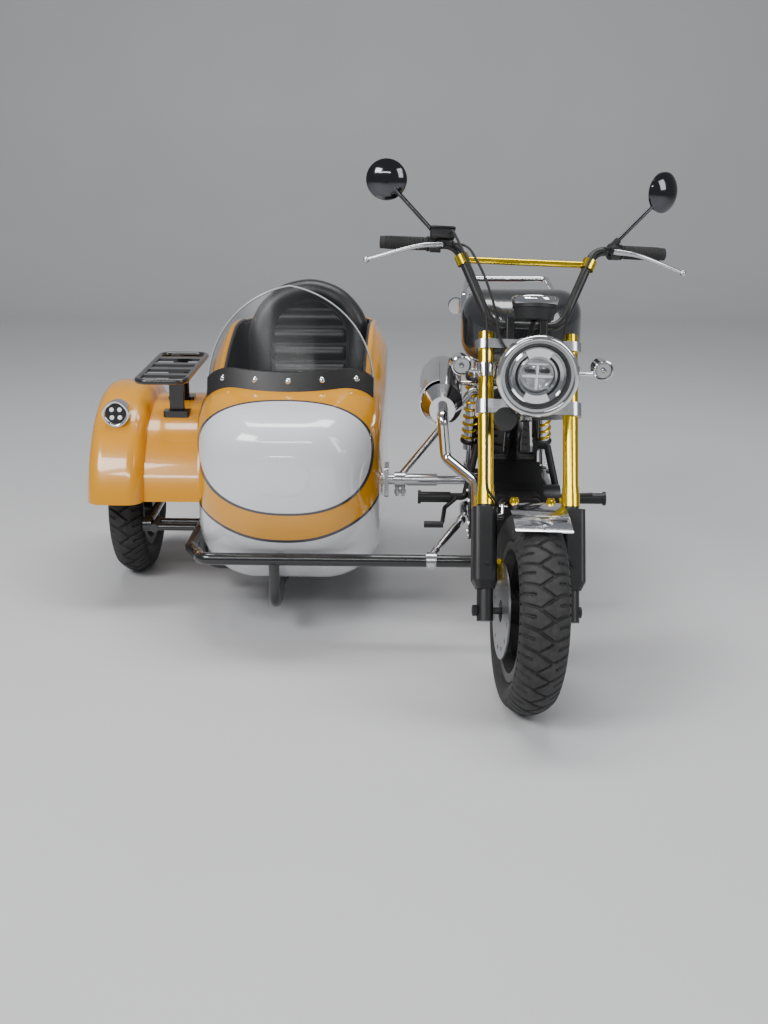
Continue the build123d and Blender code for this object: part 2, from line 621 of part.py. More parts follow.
with BuildPart() as muffler:
    for start, front, length, back in ((0.0, 0.62, MUFFLER_CONE, 1.0), (MUFFLER_CONE, 1.0, MUFFLER_BODY, 1.0),
                                       (MUFFLER_CONE + MUFFLER_BODY, 1.0, 40.0, 0.62)):
        with BuildSketch(MUFFLER_PLANE.offset(start)):
            Ellipse(MUFFLER_HALF[0] * front, MUFFLER_HALF[1] * front)
        with BuildSketch(MUFFLER_PLANE.offset(start + length)):
            Ellipse(MUFFLER_HALF[0] * back, MUFFLER_HALF[1] * back)
        loft()
    with BuildSketch(MUFFLER_PLANE.offset(MUFFLER_CONE + MUFFLER_BODY + 40)):
        Circle(20)
        Circle(15, mode=Mode.SUBTRACT)
    extrude(amount=24)
    hanger = bike(-134, 900, 580)
    rod(hanger - Vector(16, 0, 0), toward(bike(-71, 900, 579), hanger, 10.5 + FIT), 7)

SHIELD_START = 64.0
SHIELD_LENGTH = 216.0
SHIELD_GAP = 4.0
SHIELD_T = 2.5

with BuildPart() as heat_shield:
    with BuildSketch(MUFFLER_PLANE.offset(SHIELD_START)):
        Ellipse(MUFFLER_HALF[0] + SHIELD_GAP + SHIELD_T, MUFFLER_HALF[1] + SHIELD_GAP + SHIELD_T)
        Ellipse(MUFFLER_HALF[0] + SHIELD_GAP, MUFFLER_HALF[1] + SHIELD_GAP, mode=Mode.SUBTRACT)
        Polygon((12, 100), (100, 100), (100, -100), (-12, -100), (0, 0), align=None, mode=Mode.SUBTRACT)
    extrude(amount=SHIELD_LENGTH)
    shield_side = MUFFLER_FOOT - Vector(MUFFLER_HALF[0], 0, 0)
    for k in range(6):
        slot_centre = shield_side + MUFFLER_AIM * (SHIELD_START + 32 + 30 * k)
        with BuildSketch(Plane(origin=slot_centre, x_dir=(0, 1, 0.9), z_dir=(-1, 0, 0))):
            SlotOverall(62, 11)
        extrude(amount=40, mode=Mode.SUBTRACT)
    for along in (SHIELD_START + 10, SHIELD_START + SHIELD_LENGTH - 10):
        foot = shield_side + MUFFLER_AIM * along - Vector(FIT, 0, 0)
        rod(foot, foot - Vector(SHIELD_GAP + 1, 0, 0), 5)

# Tank, seat and panels

TANK_SECTIONS = (
    # y, half width, bottom, top, corner
    (378.0, 66.0, 748.0, 846.0, 34.0),
    (430.0, 128.0, 722.0, 888.0, 56.0),
    (500.0, 150.0, 714.0, 902.0, 62.0),
    (600.0, 118.0, 712.0, 862.0, 48.0),
    (668.0, 74.0, 716.0, 800.0, 30.0),
)
with BuildPart() as fuel_tank:
    for y, half, low, high, corner in TANK_SECTIONS:
        with BuildSketch(cross_plane(bike(0, y, (low + high) / 2))):
            RectangleRounded(2 * half, high - low, corner)
    loft()
    for share in (0.42, 0.8):
        y = SPINE[0][0] + share * (SPINE[1][0] - SPINE[0][0])
        z = SPINE[0][1] + share * (SPINE[1][1] - SPINE[0][1])
        rise = Vector(0, SPINE[0][1] - SPINE[1][1], SPINE[1][0] - SPINE[0][0]).normalized()
        rod(bike(0, y, z) + rise * 80, bike(0, y, z) + rise * (SPINE_R + FIT), 12)

with BuildPart() as seat:
    with BuildSketch(SIDE_PLANE):
        with BuildLine():
            Polyline((676, 716), (676, 786), (760, 776), (1000, 776), (1180, 800), (1215, 770), (1215, 718), (676, 716))
        make_face()
    extrude(amount=120, both=True)
    for side in (-1, 1):
        for y in (720, 1180):
            rail = subframe_point(side, y)
            rod(rail + Vector(0, 0, 70), rail + Vector(0, 0, SUBFRAME_R + 0.5 + FIT), 8)

with BuildPart() as side_panels:
    for side in (-1, 1):
        with BuildSketch(Plane(origin=bike(side * 92 - 3, 0, 0), x_dir=(0, 1, 0), z_dir=(1, 0, 0))):
            with BuildLine():
                Polyline((660, 700), (960, 708), (900, 630), (720, 530), (660, 700))
            make_face()
        extrude(amount=6)
        for y in (705, 885):
            rail = subframe_point(side, y)
            rod(Vector(BIKE_X + side * 91, rail.Y, rail.Z), rail + Vector(side * (SUBFRAME_R + FIT), 0, 0), 6)

REAR_FENDER_R = 371.0
REAR_FENDER_T = 5.0
FENDER_TAIL = 46.0          # degrees back from the top

with BuildPart() as rear_fender:
    with BuildSketch(Plane(origin=REAR_AXLE - Vector(75, 0, 0), x_dir=(0, 1, 0), z_dir=(1, 0, 0))):
        Circle(REAR_FENDER_R + REAR_FENDER_T)
        Circle(REAR_FENDER_R, mode=Mode.SUBTRACT)
        Polygon((0, 0), (-120, 420), (-400, 420), (-400, -400), (400, -400),
                (600 * sin(radians(FENDER_TAIL)), 600 * cos(radians(FENDER_TAIL))),
                align=None, mode=Mode.SUBTRACT)
    extrude(amount=150)
    for y, low, start_y in ((1010, 668, 1046), (1225, 690, 1222)):
        start_z = REAR_TYRE_R + sqrt(REAR_FENDER_R ** 2 - (start_y - WHEELBASE) ** 2) + 1
        bracket = bike(0, start_y, start_z)
        rod(bracket, toward(bike(0, y, low), bracket, 9 + FIT), 6)
    tail = REAR_AXLE + Vector(0, sin(radians(FENDER_TAIL)), cos(radians(FENDER_TAIL))) * (REAR_FENDER_R + 2)
    with BuildSketch(Plane(origin=tail + Vector(0, -12, 0), x_dir=(1, 0, 0), z_dir=(0, -1, 0))):
        with Locations((0, -12)):
            RectangleRounded(130, 74, 6)
        with Locations((-50, -12), (50, -12)):
            Circle(3, mode=Mode.SUBTRACT)
    extrude(amount=-4)

with BuildPart() as tail_lamp:
    with BuildSketch(cross_plane(bike(0, 1248, 712))):
        RectangleRounded(96, 44, 14)
    extrude(amount=-44)
    for x in (-24, 24):
        rod(bike(x, 1256, 704), toward(bike(x, 1225, 690), bike(x, 1256, 704), 9 + FIT), 6)

with BuildPart() as rear_signals:
    for side in (-1, 1):
        rod(bike(side * (48 + 1.5 + FIT), 1268, 714), bike(side * 140, 1268, 742), 5)
        with BuildSketch(cross_plane(bike(side * 152, 1248, 743))):
            Circle(SIGNAL_R)
        extrude(amount=-40)

RAIL_END = subframe_point(1, 1060)
with BuildPart() as grab_rail:
    bar([bike(side * (RAIL_END.X - BIKE_X + SUBFRAME_R + FIT) if k == 0 else side * x, y, z)
         for side, rows in ((-1, (0, 1, 2, 3, 4)), (1, (4, 3, 2, 1, 0)))
         for k in rows
         for x, y, z in (((89.0, 1060.0, 680.0), (132.0, 1060.0, 684.0), (132.0, 1050.0, 742.0),
                          (132.0, 1090.0, 802.0), (118.0, 1248.0, 828.0))[k],)], 9, 20)

# Swingarm, shocks and chain

ARM_X = 112.0
ARM_R = 15.0
SHOCK_Y = 1092.0
SHOCK_EYE_R = 11.0
SHOCK_TOP_Y = 1010.0
SHOCK_TOP_X = 92.0
arm_drop = (PIVOT_Z - REAR_TYRE_R) / (WHEELBASE - PIVOT_Y)
SHOCK_LOW_Z = PIVOT_Z - arm_drop * (SHOCK_Y - PIVOT_Y) + ARM_R + SHOCK_EYE_R + 2 * FIT

with BuildPart() as swingarm:
    for side in (-1, 1):
        bar([bike(side * ARM_X, PIVOT_Y, PIVOT_Z), bike(side * ARM_X, WHEELBASE, REAR_TYRE_R)], ARM_R)
    rod(bike(-ARM_X, PIVOT_Y, PIVOT_Z), bike(ARM_X, PIVOT_Y, PIVOT_Z), 8)
    rod(bike(-ARM_X - 30, WHEELBASE, REAR_TYRE_R), bike(ARM_X + 30, WHEELBASE, REAR_TYRE_R), AXLE_R)

with BuildPart() as rear_shocks:
    for side in (-1, 1):
        low = bike(side * ARM_X, SHOCK_Y, SHOCK_LOW_Z)
        high = bike(side * SHOCK_TOP_X, SHOCK_TOP_Y, 640)
        rod(low - Vector(13, 0, 0), low + Vector(13, 0, 0), SHOCK_EYE_R)
        rod(low, high, 9)
        rod(toward(low, high, 60), toward(low, high, 310), 22)
        rod(high - Vector(10, 0, 0), high + Vector(10, 0, 0), 11)

CHAIN_FRONT_R = 30.0
CHAIN_T = 10.0
with BuildPart() as chain:
    for reach, cut in ((CHAIN_T, Mode.ADD), (1.0, Mode.SUBTRACT)):
        with BuildSketch(Plane(origin=bike(CHAIN_X - 5, 0, 0), x_dir=(0, 1, 0), z_dir=(1, 0, 0))):
            with Locations((690, 300)):
                Circle(CHAIN_FRONT_R + reach)
            with Locations((WHEELBASE, REAR_TYRE_R)):
                Circle(SPROCKET_R + reach)
            make_hull()
        extrude(amount=10, mode=cut)

# Foot pegs, pedals and side stand

PEG_IN = 168.0
PEG_OUT = 258.0
PEG_Y = 704.0

with BuildPart() as foot_controls:
    for side in (-1, 1):
        rod(bike(side * (PLATE_X + 4 + FIT), 745, 440), bike(side * 96, 745, 440), 12)
        bar([bike(side * 96, 745, 440), bike(side * 128, 712, 300), bike(side * 250, 703, 300)], 10, 12)
        rod(bike(side * PEG_IN, PEG_Y, 300), bike(side * (PEG_OUT - 4), PEG_Y, 300), 15)
        rod(bike(side * (PEG_OUT - 8), PEG_Y, 300), bike(side * PEG_OUT, PEG_Y, 300), 19)
    bar([bike(-150, 703, 300), bike(-184, 690, 274), bike(-190, 600, 262), bike(-196, 566, 262)], 6, 8)
    rod(bike(-188, 572, 262), bike(-240, 572, 262), 9)
    bar([bike(140, 703, 300), bike(150, 660, 320), bike(152, 590, 340), bike(208, 586, 345)], 6, 8)

with BuildPart() as side_stand:
    rod(bike(STAND_X, STAND_Y, STAND_Z), bike(STAND_X + STAND_T, STAND_Y, STAND_Z), 16)
    bar([bike(STAND_X + 7, STAND_Y, STAND_Z), bike(STAND_X + 14, STAND_Y + 50, STAND_Z - 4),
         bike(STAND_X + 36, STAND_Y + 180, STAND_Z - 26)], 8, 40)
    rod(bike(STAND_X + 32, STAND_Y + 182, STAND_Z - 29), bike(STAND_X + 64, STAND_Y + 182, STAND_Z - 18), 7)
    rod(bike(STAND_X - 10, STAND_Y, STAND_Z), bike(STAND_X + 40, STAND_Y, STAND_Z), STAND_PIN_R + RUN, Mode.SUBTRACT)

# Sidecar body

TUB_HALF = 246.0            # half width at its widest
TUB_BELLY = 112.0           # height of its flat underside
TUB_SECTIONS = (
    # y, half width, bottom, top, upper corner, lower corner
    (322.0, 72.0, 408.0, 512.0, 48.0, 48.0),
    (332.0, 122.0, 366.0, 546.0, 84.0, 84.0),
    (352.0, 164.0, 318.0, 574.0, 108.0, 112.0),
    (384.0, 196.0, 264.0, 592.0, 122.0, 134.0),
    (424.0, 218.0, 208.0, 606.0, 126.0, 148.0),
    (474.0, 233.0, 158.0, 618.0, 122.0, 154.0),
    (530.0, 241.0, 124.0, 632.0, 112.0, 152.0),
    (600.0, TUB_HALF - 1, TUB_BELLY, 644.0, 104.0, 148.0),
    (700.0, TUB_HALF, TUB_BELLY, 660.0, 100.0, 146.0),
    (850.0, TUB_HALF, TUB_BELLY, 714.0, 104.0, 146.0),
    (1000.0, TUB_HALF - 2, TUB_BELLY, 744.0, 108.0, 146.0),
    (1150.0, 233.0, 122.0, 741.0, 110.0, 142.0),
    (1260.0, 210.0, 152.0, 714.0, 108.0, 134.0),
    (1360.0, 166.0, 214.0, 652.0, 100.0, 120.0),
    (1430.0, 112.0, 300.0, 578.0, 80.0, 92.0),
    (1468.0, 56.0, 384.0, 506.0, 44.0, 46.0),
)
TUB_STEPS = 3               # rings drawn between one section and the next


def eased(before, start, end, after, t):
    """A point of a curve from start to end that follows its neighbours and never swings past them."""
    out, home = (2 * left * right / (left + right) if left * right > 0 else 0
                 for left, right in ((start - before, end - start), (end - start, after - end)))
    rise = end - start
    return start + t * (out + t * (3 * rise - 2 * out - home + t * (out + home - 2 * rise)))


def tub_rings():
    """The rings of the body: its sections, and eased ones between them."""
    rows = [TUB_SECTIONS[0], *TUB_SECTIONS, TUB_SECTIONS[-1]]
    rings = [[eased(*values, step / TUB_STEPS) for values in zip(*four)]
             for four in zip(rows, rows[1:], rows[2:], rows[3:]) for step in range(TUB_STEPS)]
    return rings + [list(TUB_SECTIONS[-1])]


def tub_ring(half, low, high, top_r, low_r):
    """A section with one radius at its upper corners and another at its lower ones, about its middle."""
    up = (high - low) / 2
    lean = sqrt(0.5)
    with BuildSketch() as ring:
        with BuildLine():
            Line((-half, low_r - up), (-half, up - top_r))
            ThreePointArc((-half, up - top_r), (-half + top_r * (1 - lean), up - top_r * (1 - lean)),
                          (-half + top_r, up))
            Line((-half + top_r, up), (half - top_r, up))
            ThreePointArc((half - top_r, up), (half - top_r * (1 - lean), up - top_r * (1 - lean)),
                          (half, up - top_r))
            Line((half, up - top_r), (half, low_r - up))
            ThreePointArc((half, low_r - up), (half - low_r * (1 - lean), low_r * (1 - lean) - up),
                          (half - low_r, -up))
            Line((half - low_r, -up), (low_r - half, -up))
            ThreePointArc((low_r - half, -up), (-half + low_r * (1 - lean), low_r * (1 - lean) - up),
                          (-half, low_r - up))
        make_face()
    return ring.sketch


def tub_shape(inset):
    """The sidecar body's outer form, or the same drawn in by a wall, as one solid."""
    with BuildPart() as form:
        for y, half, low, high, top_r, low_r in tub_rings():
            shift = inset if y < 330 else (-inset if y > 1450 else 0)
            with BuildSketch(cross_plane(car(0, y + shift, (low + high) / 2))):
                add(tub_ring(half - inset, low + inset, high - inset, top_r - inset, low_r - inset))
        loft(ruled=True)
    return form.part


tub_outer = tub_shape(0)
tub_inner = tub_shape(TUB_WALL)
COCKPIT_FRONT = 590.0
COCKPIT_BACK = 1250.0
COCKPIT_HALF = 196.0
SEAT_FRONT = 830.0
SEAT_SHELF = 262.0

with BuildPart() as seat_base:
    add(tub_shape(TUB_WALL + FIT))
    with BuildSketch(Plane(origin=car(0, 0, 0), x_dir=(0, 1, 0), z_dir=(1, 0, 0))):
        Polygon((SEAT_FRONT, 100), (SEAT_FRONT, SEAT_SHELF), (1180, SEAT_SHELF), (1180, SEAT_SHELF - 5),
                (SEAT_FRONT + 5, SEAT_SHELF - 5), (SEAT_FRONT + 5, 100), align=None)
    extrude(amount=300, both=True, mode=Mode.INTERSECT)

with BuildPart() as tub:
    add(tub_outer)
    add(tub_inner, mode=Mode.SUBTRACT)
    with BuildSketch(Plane.XY.offset(450)):
        with Locations((CAR_X, FRONT_AXLE_Y + (COCKPIT_FRONT + COCKPIT_BACK) / 2)):
            RectangleRounded(2 * COCKPIT_HALF, COCKPIT_BACK - COCKPIT_FRONT, 80)
    extrude(amount=400, mode=Mode.SUBTRACT)

SEAM_FRONT_Z = 251.5        # the seam between body and pan, at its front and at its back end
SEAM_BACK_Z = 391.5


def below_seam(drop, mode):
    """Keep or cut away what lies under the seam, or under a line a drop below it."""
    with BuildSketch(Plane(origin=car(0, 0, 0), x_dir=(0, 1, 0), z_dir=(1, 0, 0))) as under:
        Polygon((200, 0), (200, SEAM_FRONT_Z - drop), (1600, SEAM_BACK_Z - drop), (1600, 0), align=None)
    extrude(under.sketch, amount=300, both=True, mode=mode)


with BuildPart() as sidecar_body:
    add(tub.part)
    below_seam(0, Mode.SUBTRACT)

with BuildPart() as sidecar_belly:
    add(tub.part)
    below_seam(FIT, Mode.INTERSECT)

with BuildPart() as sidecar_cushion:
    with BuildSketch(Plane.XY.offset(SEAT_SHELF + FIT)):
        with Locations((CAR_X, FRONT_AXLE_Y + 960)):
            RectangleRounded(360, 256, 50)
    extrude(amount=80)

BACK_TILT = 10.0
BACK_T = 52.0
BACK_RECESS = 14.0
BACK_PLANE = Plane(origin=car(0, 1096, SEAT_SHELF + FIT + BACK_T * sin(radians(BACK_TILT))), x_dir=(1, 0, 0),
                   z_dir=(0, -cos(radians(BACK_TILT)), sin(radians(BACK_TILT))))
with BuildPart() as sidecar_backrest:
    with BuildSketch(BACK_PLANE):
        with BuildLine():
            Polyline((-168, 410), (-160, 0), (160, 0), (168, 410))
            ThreePointArc((168, 410), (0, 572), (-168, 410))
        make_face()
    extrude(amount=-BACK_T)
    with BuildSketch(BACK_PLANE):
        with BuildLine():
            Polyline((-104, 390), (-100, 90), (100, 90), (104, 390))
            ThreePointArc((104, 390), (0, 496), (-104, 390))
        make_face()
    extrude(amount=-BACK_RECESS, mode=Mode.SUBTRACT)

SCREEN_LEAN = 20.0
SCREEN_UP = Vector(0, sin(radians(SCREEN_LEAN)), cos(radians(SCREEN_LEAN)))
SCREEN_FOOT = car(0, 505, 560)
SCREEN_PLANE = Plane(origin=SCREEN_FOOT, x_dir=(1, 0, 0), z_dir=SCREEN_UP)     # local y runs rearwards
SCREEN_BOW = 420.0
SCREEN_T = 4.0
SCREEN_HALF = 216.0
STRIP_HALF = 219.0
STRIP_RISE = 44.0


def screen_band(front, thick):
    """A bowed band that stands on the body's nose, its front face set ahead by a distance."""
    bow = SCREEN_BOW + front
    with BuildPart() as band:
        with BuildSketch(SCREEN_PLANE):
            with Locations((0, SCREEN_BOW)):
                Circle(bow)
                Circle(bow - thick, mode=Mode.SUBTRACT)
                with Locations((0, SCREEN_BOW)):
                    Rectangle(4 * bow, 2 * SCREEN_BOW + 2 * 350, mode=Mode.SUBTRACT)
        extrude(amount=350)
    return band.part


with BuildPart() as windscreen:
    add(screen_band(0, SCREEN_T))
    with BuildSketch(cross_plane(SCREEN_FOOT - Vector(0, 100, 0))):
        with BuildLine():
            Polyline((-SCREEN_HALF, 0), (SCREEN_HALF, 0))
            Line((SCREEN_HALF, 0), (SCREEN_HALF, 40))
            ThreePointArc((SCREEN_HALF, 40), (164, 232), (0, 330))
            ThreePointArc((0, 330), (-164, 232), (-SCREEN_HALF, 40))
            Line((-SCREEN_HALF, 40), (-SCREEN_HALF, 0))
        make_face()
    extrude(amount=-500, mode=Mode.INTERSECT)
    add(tub_outer.moved(Location((0, 0, FIT))), mode=Mode.SUBTRACT)

with BuildPart() as windscreen_strip:
    add(screen_band(6 + FIT, 6))
    add(tub_outer.moved(Location((0, 0, STRIP_RISE))), mode=Mode.INTERSECT)
    add(tub_outer.moved(Location((0, 0, FIT))), mode=Mode.SUBTRACT)
    with BuildSketch(Plane.XY.offset(500)):
        with Locations((CAR_X, FRONT_AXLE_Y + 540)):
            Rectangle(2 * STRIP_HALF, 400)
    extrude(amount=300, mode=Mode.INTERSECT)

# Mudguard, lamps and rack

MUDGUARD_IN = -622.0
MUDGUARD_OUT = -776.0
DECK_R = 290.0
MUDGUARD_Y = 950.0
MUDGUARD_LIP = 290.0


def arch(plane_x, radius, width):
    """Add a half-round shell over the sidecar wheel from plane_x leftwards."""
    centre = (plane_x, FRONT_AXLE_Y + MUDGUARD_Y, MUDGUARD_Z)
    with BuildSketch(Plane(origin=centre, x_dir=(0, 1, 0), z_dir=(1, 0, 0))) as half_round:
        Circle(radius)
        with Locations((0, MUDGUARD_LIP - MUDGUARD_Z - 2 * MUDGUARD_R)):
            Rectangle(4 * MUDGUARD_R, 4 * MUDGUARD_R, mode=Mode.SUBTRACT)
    extrude(half_round.sketch, amount=width)


MUDGUARD_ROUND = 42.0
WHEEL_ARCH_R = 246.0


def mudguard_form(inset):
    """The mudguard's outer form over the wheel, or the same drawn in by its wall and open below."""
    with BuildPart() as form:
        centre = (MUDGUARD_OUT + inset, FRONT_AXLE_Y + MUDGUARD_Y, MUDGUARD_Z)
        with BuildSketch(Plane(origin=centre, x_dir=(0, 1, 0), z_dir=(1, 0, 0))):
            Circle(MUDGUARD_R - inset)
        extrude(amount=MUDGUARD_IN - MUDGUARD_OUT - 2 * inset)
        fillet(form.edges().filter_by(GeomType.CIRCLE), MUDGUARD_ROUND - inset)
    return form.part


with BuildPart() as mudguard:
    add(mudguard_form(0))
    arch(MUDGUARD_IN - 2, DECK_R, CAR_X - MUDGUARD_IN - 100)
    with BuildSketch(Plane(origin=(MUDGUARD_IN, FRONT_AXLE_Y + MUDGUARD_Y, MUDGUARD_Z),
                           x_dir=(0, 1, 0), z_dir=(1, 0, 0))):
        Circle(DECK_R - MUDGUARD_T)
    extrude(amount=500, mode=Mode.SUBTRACT)
    add(mudguard_form(MUDGUARD_T), mode=Mode.SUBTRACT)
    with BuildSketch(Plane(origin=SIDE_AXLE - Vector(120, 0, 0), x_dir=(0, 1, 0), z_dir=(1, 0, 0))):
        Circle(WHEEL_ARCH_R)
    extrude(amount=200, mode=Mode.SUBTRACT)
    with BuildSketch(Plane.XY.offset(MUDGUARD_LIP)):
        with Locations((-600, FRONT_AXLE_Y + MUDGUARD_Y)):
            Rectangle(900, 900)
    extrude(amount=-400, mode=Mode.SUBTRACT)
    add(tub_shape(-FIT), mode=Mode.SUBTRACT)

LAMP_Y = 735.0
SIDE_LAMP_R = 34.0
with BuildPart() as sidecar_lamps:
    with BuildSketch(cross_plane(Vector(-701, FRONT_AXLE_Y + LAMP_Y, 522))):
        Circle(SIDE_LAMP_R)
    extrude(amount=-34)
    rod(Vector(-701, FRONT_AXLE_Y + LAMP_Y + 20, 522), Vector(-701, FRONT_AXLE_Y + 830, 505), 12)
    with BuildSketch(cross_plane(Vector(-699, FRONT_AXLE_Y + 1140, 500))):
        Circle(26)
    extrude(amount=-88)
    with BuildSketch(Plane(origin=(MUDGUARD_OUT - 20, FRONT_AXLE_Y + MUDGUARD_Y, MUDGUARD_Z),
                           x_dir=(0, 1, 0), z_dir=(1, 0, 0))):
        Circle(MUDGUARD_R + FIT)
    extrude(amount=400, mode=Mode.SUBTRACT)

RACK_Z = 640.0
RACK_TUBE_R = 8.0
RACK_X = -548.0
RACK_HALF = 66.0
RACK_FRONT = 598.0
RACK_BACK = 990.0
SLAT_YS = (680.0, 762.0)
RACK_POST_YS = (832.0, 918.0)


def spot(x, y, z):
    """A point by its own X, its distance behind the front axle and its height."""
    return Vector(x, FRONT_AXLE_Y + y, z)


with BuildPart() as luggage_rack:
    for half in (-RACK_HALF, RACK_HALF):
        bar([spot(RACK_X, RACK_FRONT, RACK_Z), spot(RACK_X + half, RACK_FRONT, RACK_Z),
             spot(RACK_X + half, RACK_BACK, RACK_Z), spot(RACK_X, RACK_BACK, RACK_Z)], RACK_TUBE_R, 30)
    for y in (*SLAT_YS, *RACK_POST_YS):
        with BuildSketch(cross_plane(spot(RACK_X, y - 14, RACK_Z))):
            Rectangle(2 * RACK_HALF, 8)
        extrude(amount=-28)
    for y in RACK_POST_YS:
        low = MUDGUARD_Z + sqrt(DECK_R ** 2 - (MUDGUARD_Y - y) ** 2) - 20
        with BuildSketch(Plane.XY.offset(low)):
            with Locations((RACK_X, FRONT_AXLE_Y + y)):
                RectangleRounded(42, 10, 3)
        extrude(amount=RACK_Z - low)
        with BuildSketch(Plane.XY.offset(low)):
            with Locations((RACK_X, FRONT_AXLE_Y + y)):
                RectangleRounded(74, 46, 8)
        extrude(amount=27)
    with BuildSketch(Plane(origin=(RACK_X - 200, FRONT_AXLE_Y + MUDGUARD_Y, MUDGUARD_Z),
                           x_dir=(0, 1, 0), z_dir=(1, 0, 0))):
        Circle(DECK_R + FIT)
    extrude(amount=400, mode=Mode.SUBTRACT)

# Chassis of the sidecar

RAIL_LEFT = -470.0
UNDER_RAIL_X = -76.0        # the low rail hidden under the body's right side
RAIL_BACK = 1200.0
ARM_PIVOT_Y = 720.0
ARM_IN = -600.0
KEEL_X = CAR_X - 30.0
CROSS_R = 12.0
PAD_YS = (720.0, 1000.0)
BELLY_PAD = (90.0, 50.0)

with BuildPart() as sidecar_chassis:
    bar([spot(RAIL_LEFT, RAIL_BACK + 22, RAIL_Z), spot(RAIL_LEFT, 520, RAIL_Z),
         spot(RAIL_LEFT + 50, FRONT_BAR_Y, FRONT_BAR_Z), spot(BIKE_X - 44, FRONT_BAR_Y, FRONT_BAR_Z)], RAIL_R, 30)
    for y in (PAD_YS[0], RAIL_BACK):
        bar([spot(RAIL_LEFT, y, RAIL_Z), spot(RAIL_LEFT, y, KEEL_Z), spot(UNDER_RAIL_X + 16, y, KEEL_Z)], CROSS_R, 50)
    rod(spot(UNDER_RAIL_X, PAD_YS[0] - 20, KEEL_Z), spot(UNDER_RAIL_X, RAIL_BACK + 20, KEEL_Z), CROSS_R)
    bar([spot(KEEL_X, FRONT_BAR_Y, FRONT_BAR_Z - 10), spot(KEEL_X, FRONT_BAR_Y + 6, KEEL_Z),
         spot(KEEL_X, RAIL_BACK, KEEL_Z)], KEEL_R, 40)
    for y in PAD_YS:
        for x in (KEEL_X, UNDER_RAIL_X - 16):
            with BuildSketch(Plane.XY.offset(KEEL_Z)):
                with Locations((x, FRONT_AXLE_Y + y)):
                    RectangleRounded(*BELLY_PAD, 6)
            extrude(amount=TUB_BELLY - FIT - KEEL_Z)
    for y in (ARM_PIVOT_Y - 26, ARM_PIVOT_Y + 26):
        rod(spot(RAIL_LEFT, y, RAIL_Z), spot(ARM_IN, y, RAIL_Z), 10)
    rod(spot(ARM_IN, ARM_PIVOT_Y - 40, RAIL_Z), spot(ARM_IN, ARM_PIVOT_Y + 40, RAIL_Z), 12)

with BuildPart() as sidecar_arm:
    rod(spot(ARM_IN - 12 - FIT, ARM_PIVOT_Y, RAIL_Z), spot(-636, ARM_PIVOT_Y, RAIL_Z), 20)
    bar([spot(-626, ARM_PIVOT_Y, RAIL_Z), spot(-626, SIDE_AXLE_Y, SIDE_TYRE_R)], 12)
    rod(spot(-624, SIDE_AXLE_Y, SIDE_TYRE_R), spot(SIDE_WHEEL_X - 62, SIDE_AXLE_Y, SIDE_TYRE_R), AXLE_R)

CLAMP_Y = 780.0
CLAMP_Z = 328.0
CLAMP_X = 82.0
FLANK_X = CAR_X + TUB_HALF
EYE_X = 172.0
STRUT_TOP = bike(-134, 560, 288)
STRUT_FOOT = spot(EYE_X, FRONT_BAR_Y + RAIL_R + 22, FRONT_BAR_Z)
LUG = bike(-PLATE_X - 4 - FIT, 731, 272)
with BuildPart() as link_struts:
    with BuildSketch(Plane(origin=(FLANK_X + FIT, FRONT_AXLE_Y + CLAMP_Y, CLAMP_Z), x_dir=(0, 1, 0), z_dir=(1, 0, 0))):
        RectangleRounded(84, 84, 10)
    extrude(amount=7)
    rod(spot(FLANK_X + 5, CLAMP_Y, CLAMP_Z), spot(CLAMP_X + 40, CLAMP_Y, CLAMP_Z), 14)
    rod(spot(CLAMP_X - 15, CLAMP_Y, CLAMP_Z), spot(CLAMP_X + 15, CLAMP_Y, CLAMP_Z), 22)
    for x in (CLAMP_X - 8, CLAMP_X + 9):
        rod(spot(x, CLAMP_Y - 12, CLAMP_Z), spot(x, CLAMP_Y - 12, CLAMP_Z - 44), 5)
        rod(spot(x, CLAMP_Y - 12, CLAMP_Z - 26), spot(x, CLAMP_Y - 12, CLAMP_Z - 36), 8)
    rod(spot(CLAMP_X + 20, CLAMP_Y, CLAMP_Z), spot(CLAMP_X + 104, CLAMP_Y, CLAMP_Z), 17)
    rod(spot(CLAMP_X + 90, CLAMP_Y, CLAMP_Z), Vector(LUG.X, FRONT_AXLE_Y + CLAMP_Y, CLAMP_Z), 12)
    bar([spot(CLAMP_X, CLAMP_Y, CLAMP_Z + 10), bike(-110, 880, 562), bike(-86 - FIT, 880, 562)], 9, 12)
    bar([STRUT_TOP - Vector(0, 14, 0), bike(-134, 731, 272), LUG], 10, 20)
    rod(spot(EYE_X - 13, FRONT_BAR_Y, FRONT_BAR_Z), spot(EYE_X + 13, FRONT_BAR_Y, FRONT_BAR_Z), RAIL_R + 7)
    with BuildSketch(Plane.XY.offset(FRONT_BAR_Z - 5)):
        with Locations((EYE_X, FRONT_AXLE_Y + FRONT_BAR_Y)):
            RectangleRounded(26, 2 * (RAIL_R + 18), 5)
    extrude(amount=10)
    rod(spot(EYE_X - 80, FRONT_BAR_Y, FRONT_BAR_Z), spot(EYE_X + 80, FRONT_BAR_Y, FRONT_BAR_Z), RAIL_R + FIT,
        Mode.SUBTRACT)
    rod(STRUT_FOOT, STRUT_TOP, 7)
    rod(STRUT_FOOT - Vector(0, 4, 0), toward(STRUT_FOOT, STRUT_TOP, 26), 11)
    rod(toward(STRUT_FOOT, STRUT_TOP, 44), toward(STRUT_TOP, STRUT_FOOT, 36), 10)
    rod(toward(STRUT_TOP, STRUT_FOOT, 22), STRUT_TOP + (STRUT_TOP - STRUT_FOOT).normalized() * 4, 12)

# Control cables

CABLE_R = 3.0


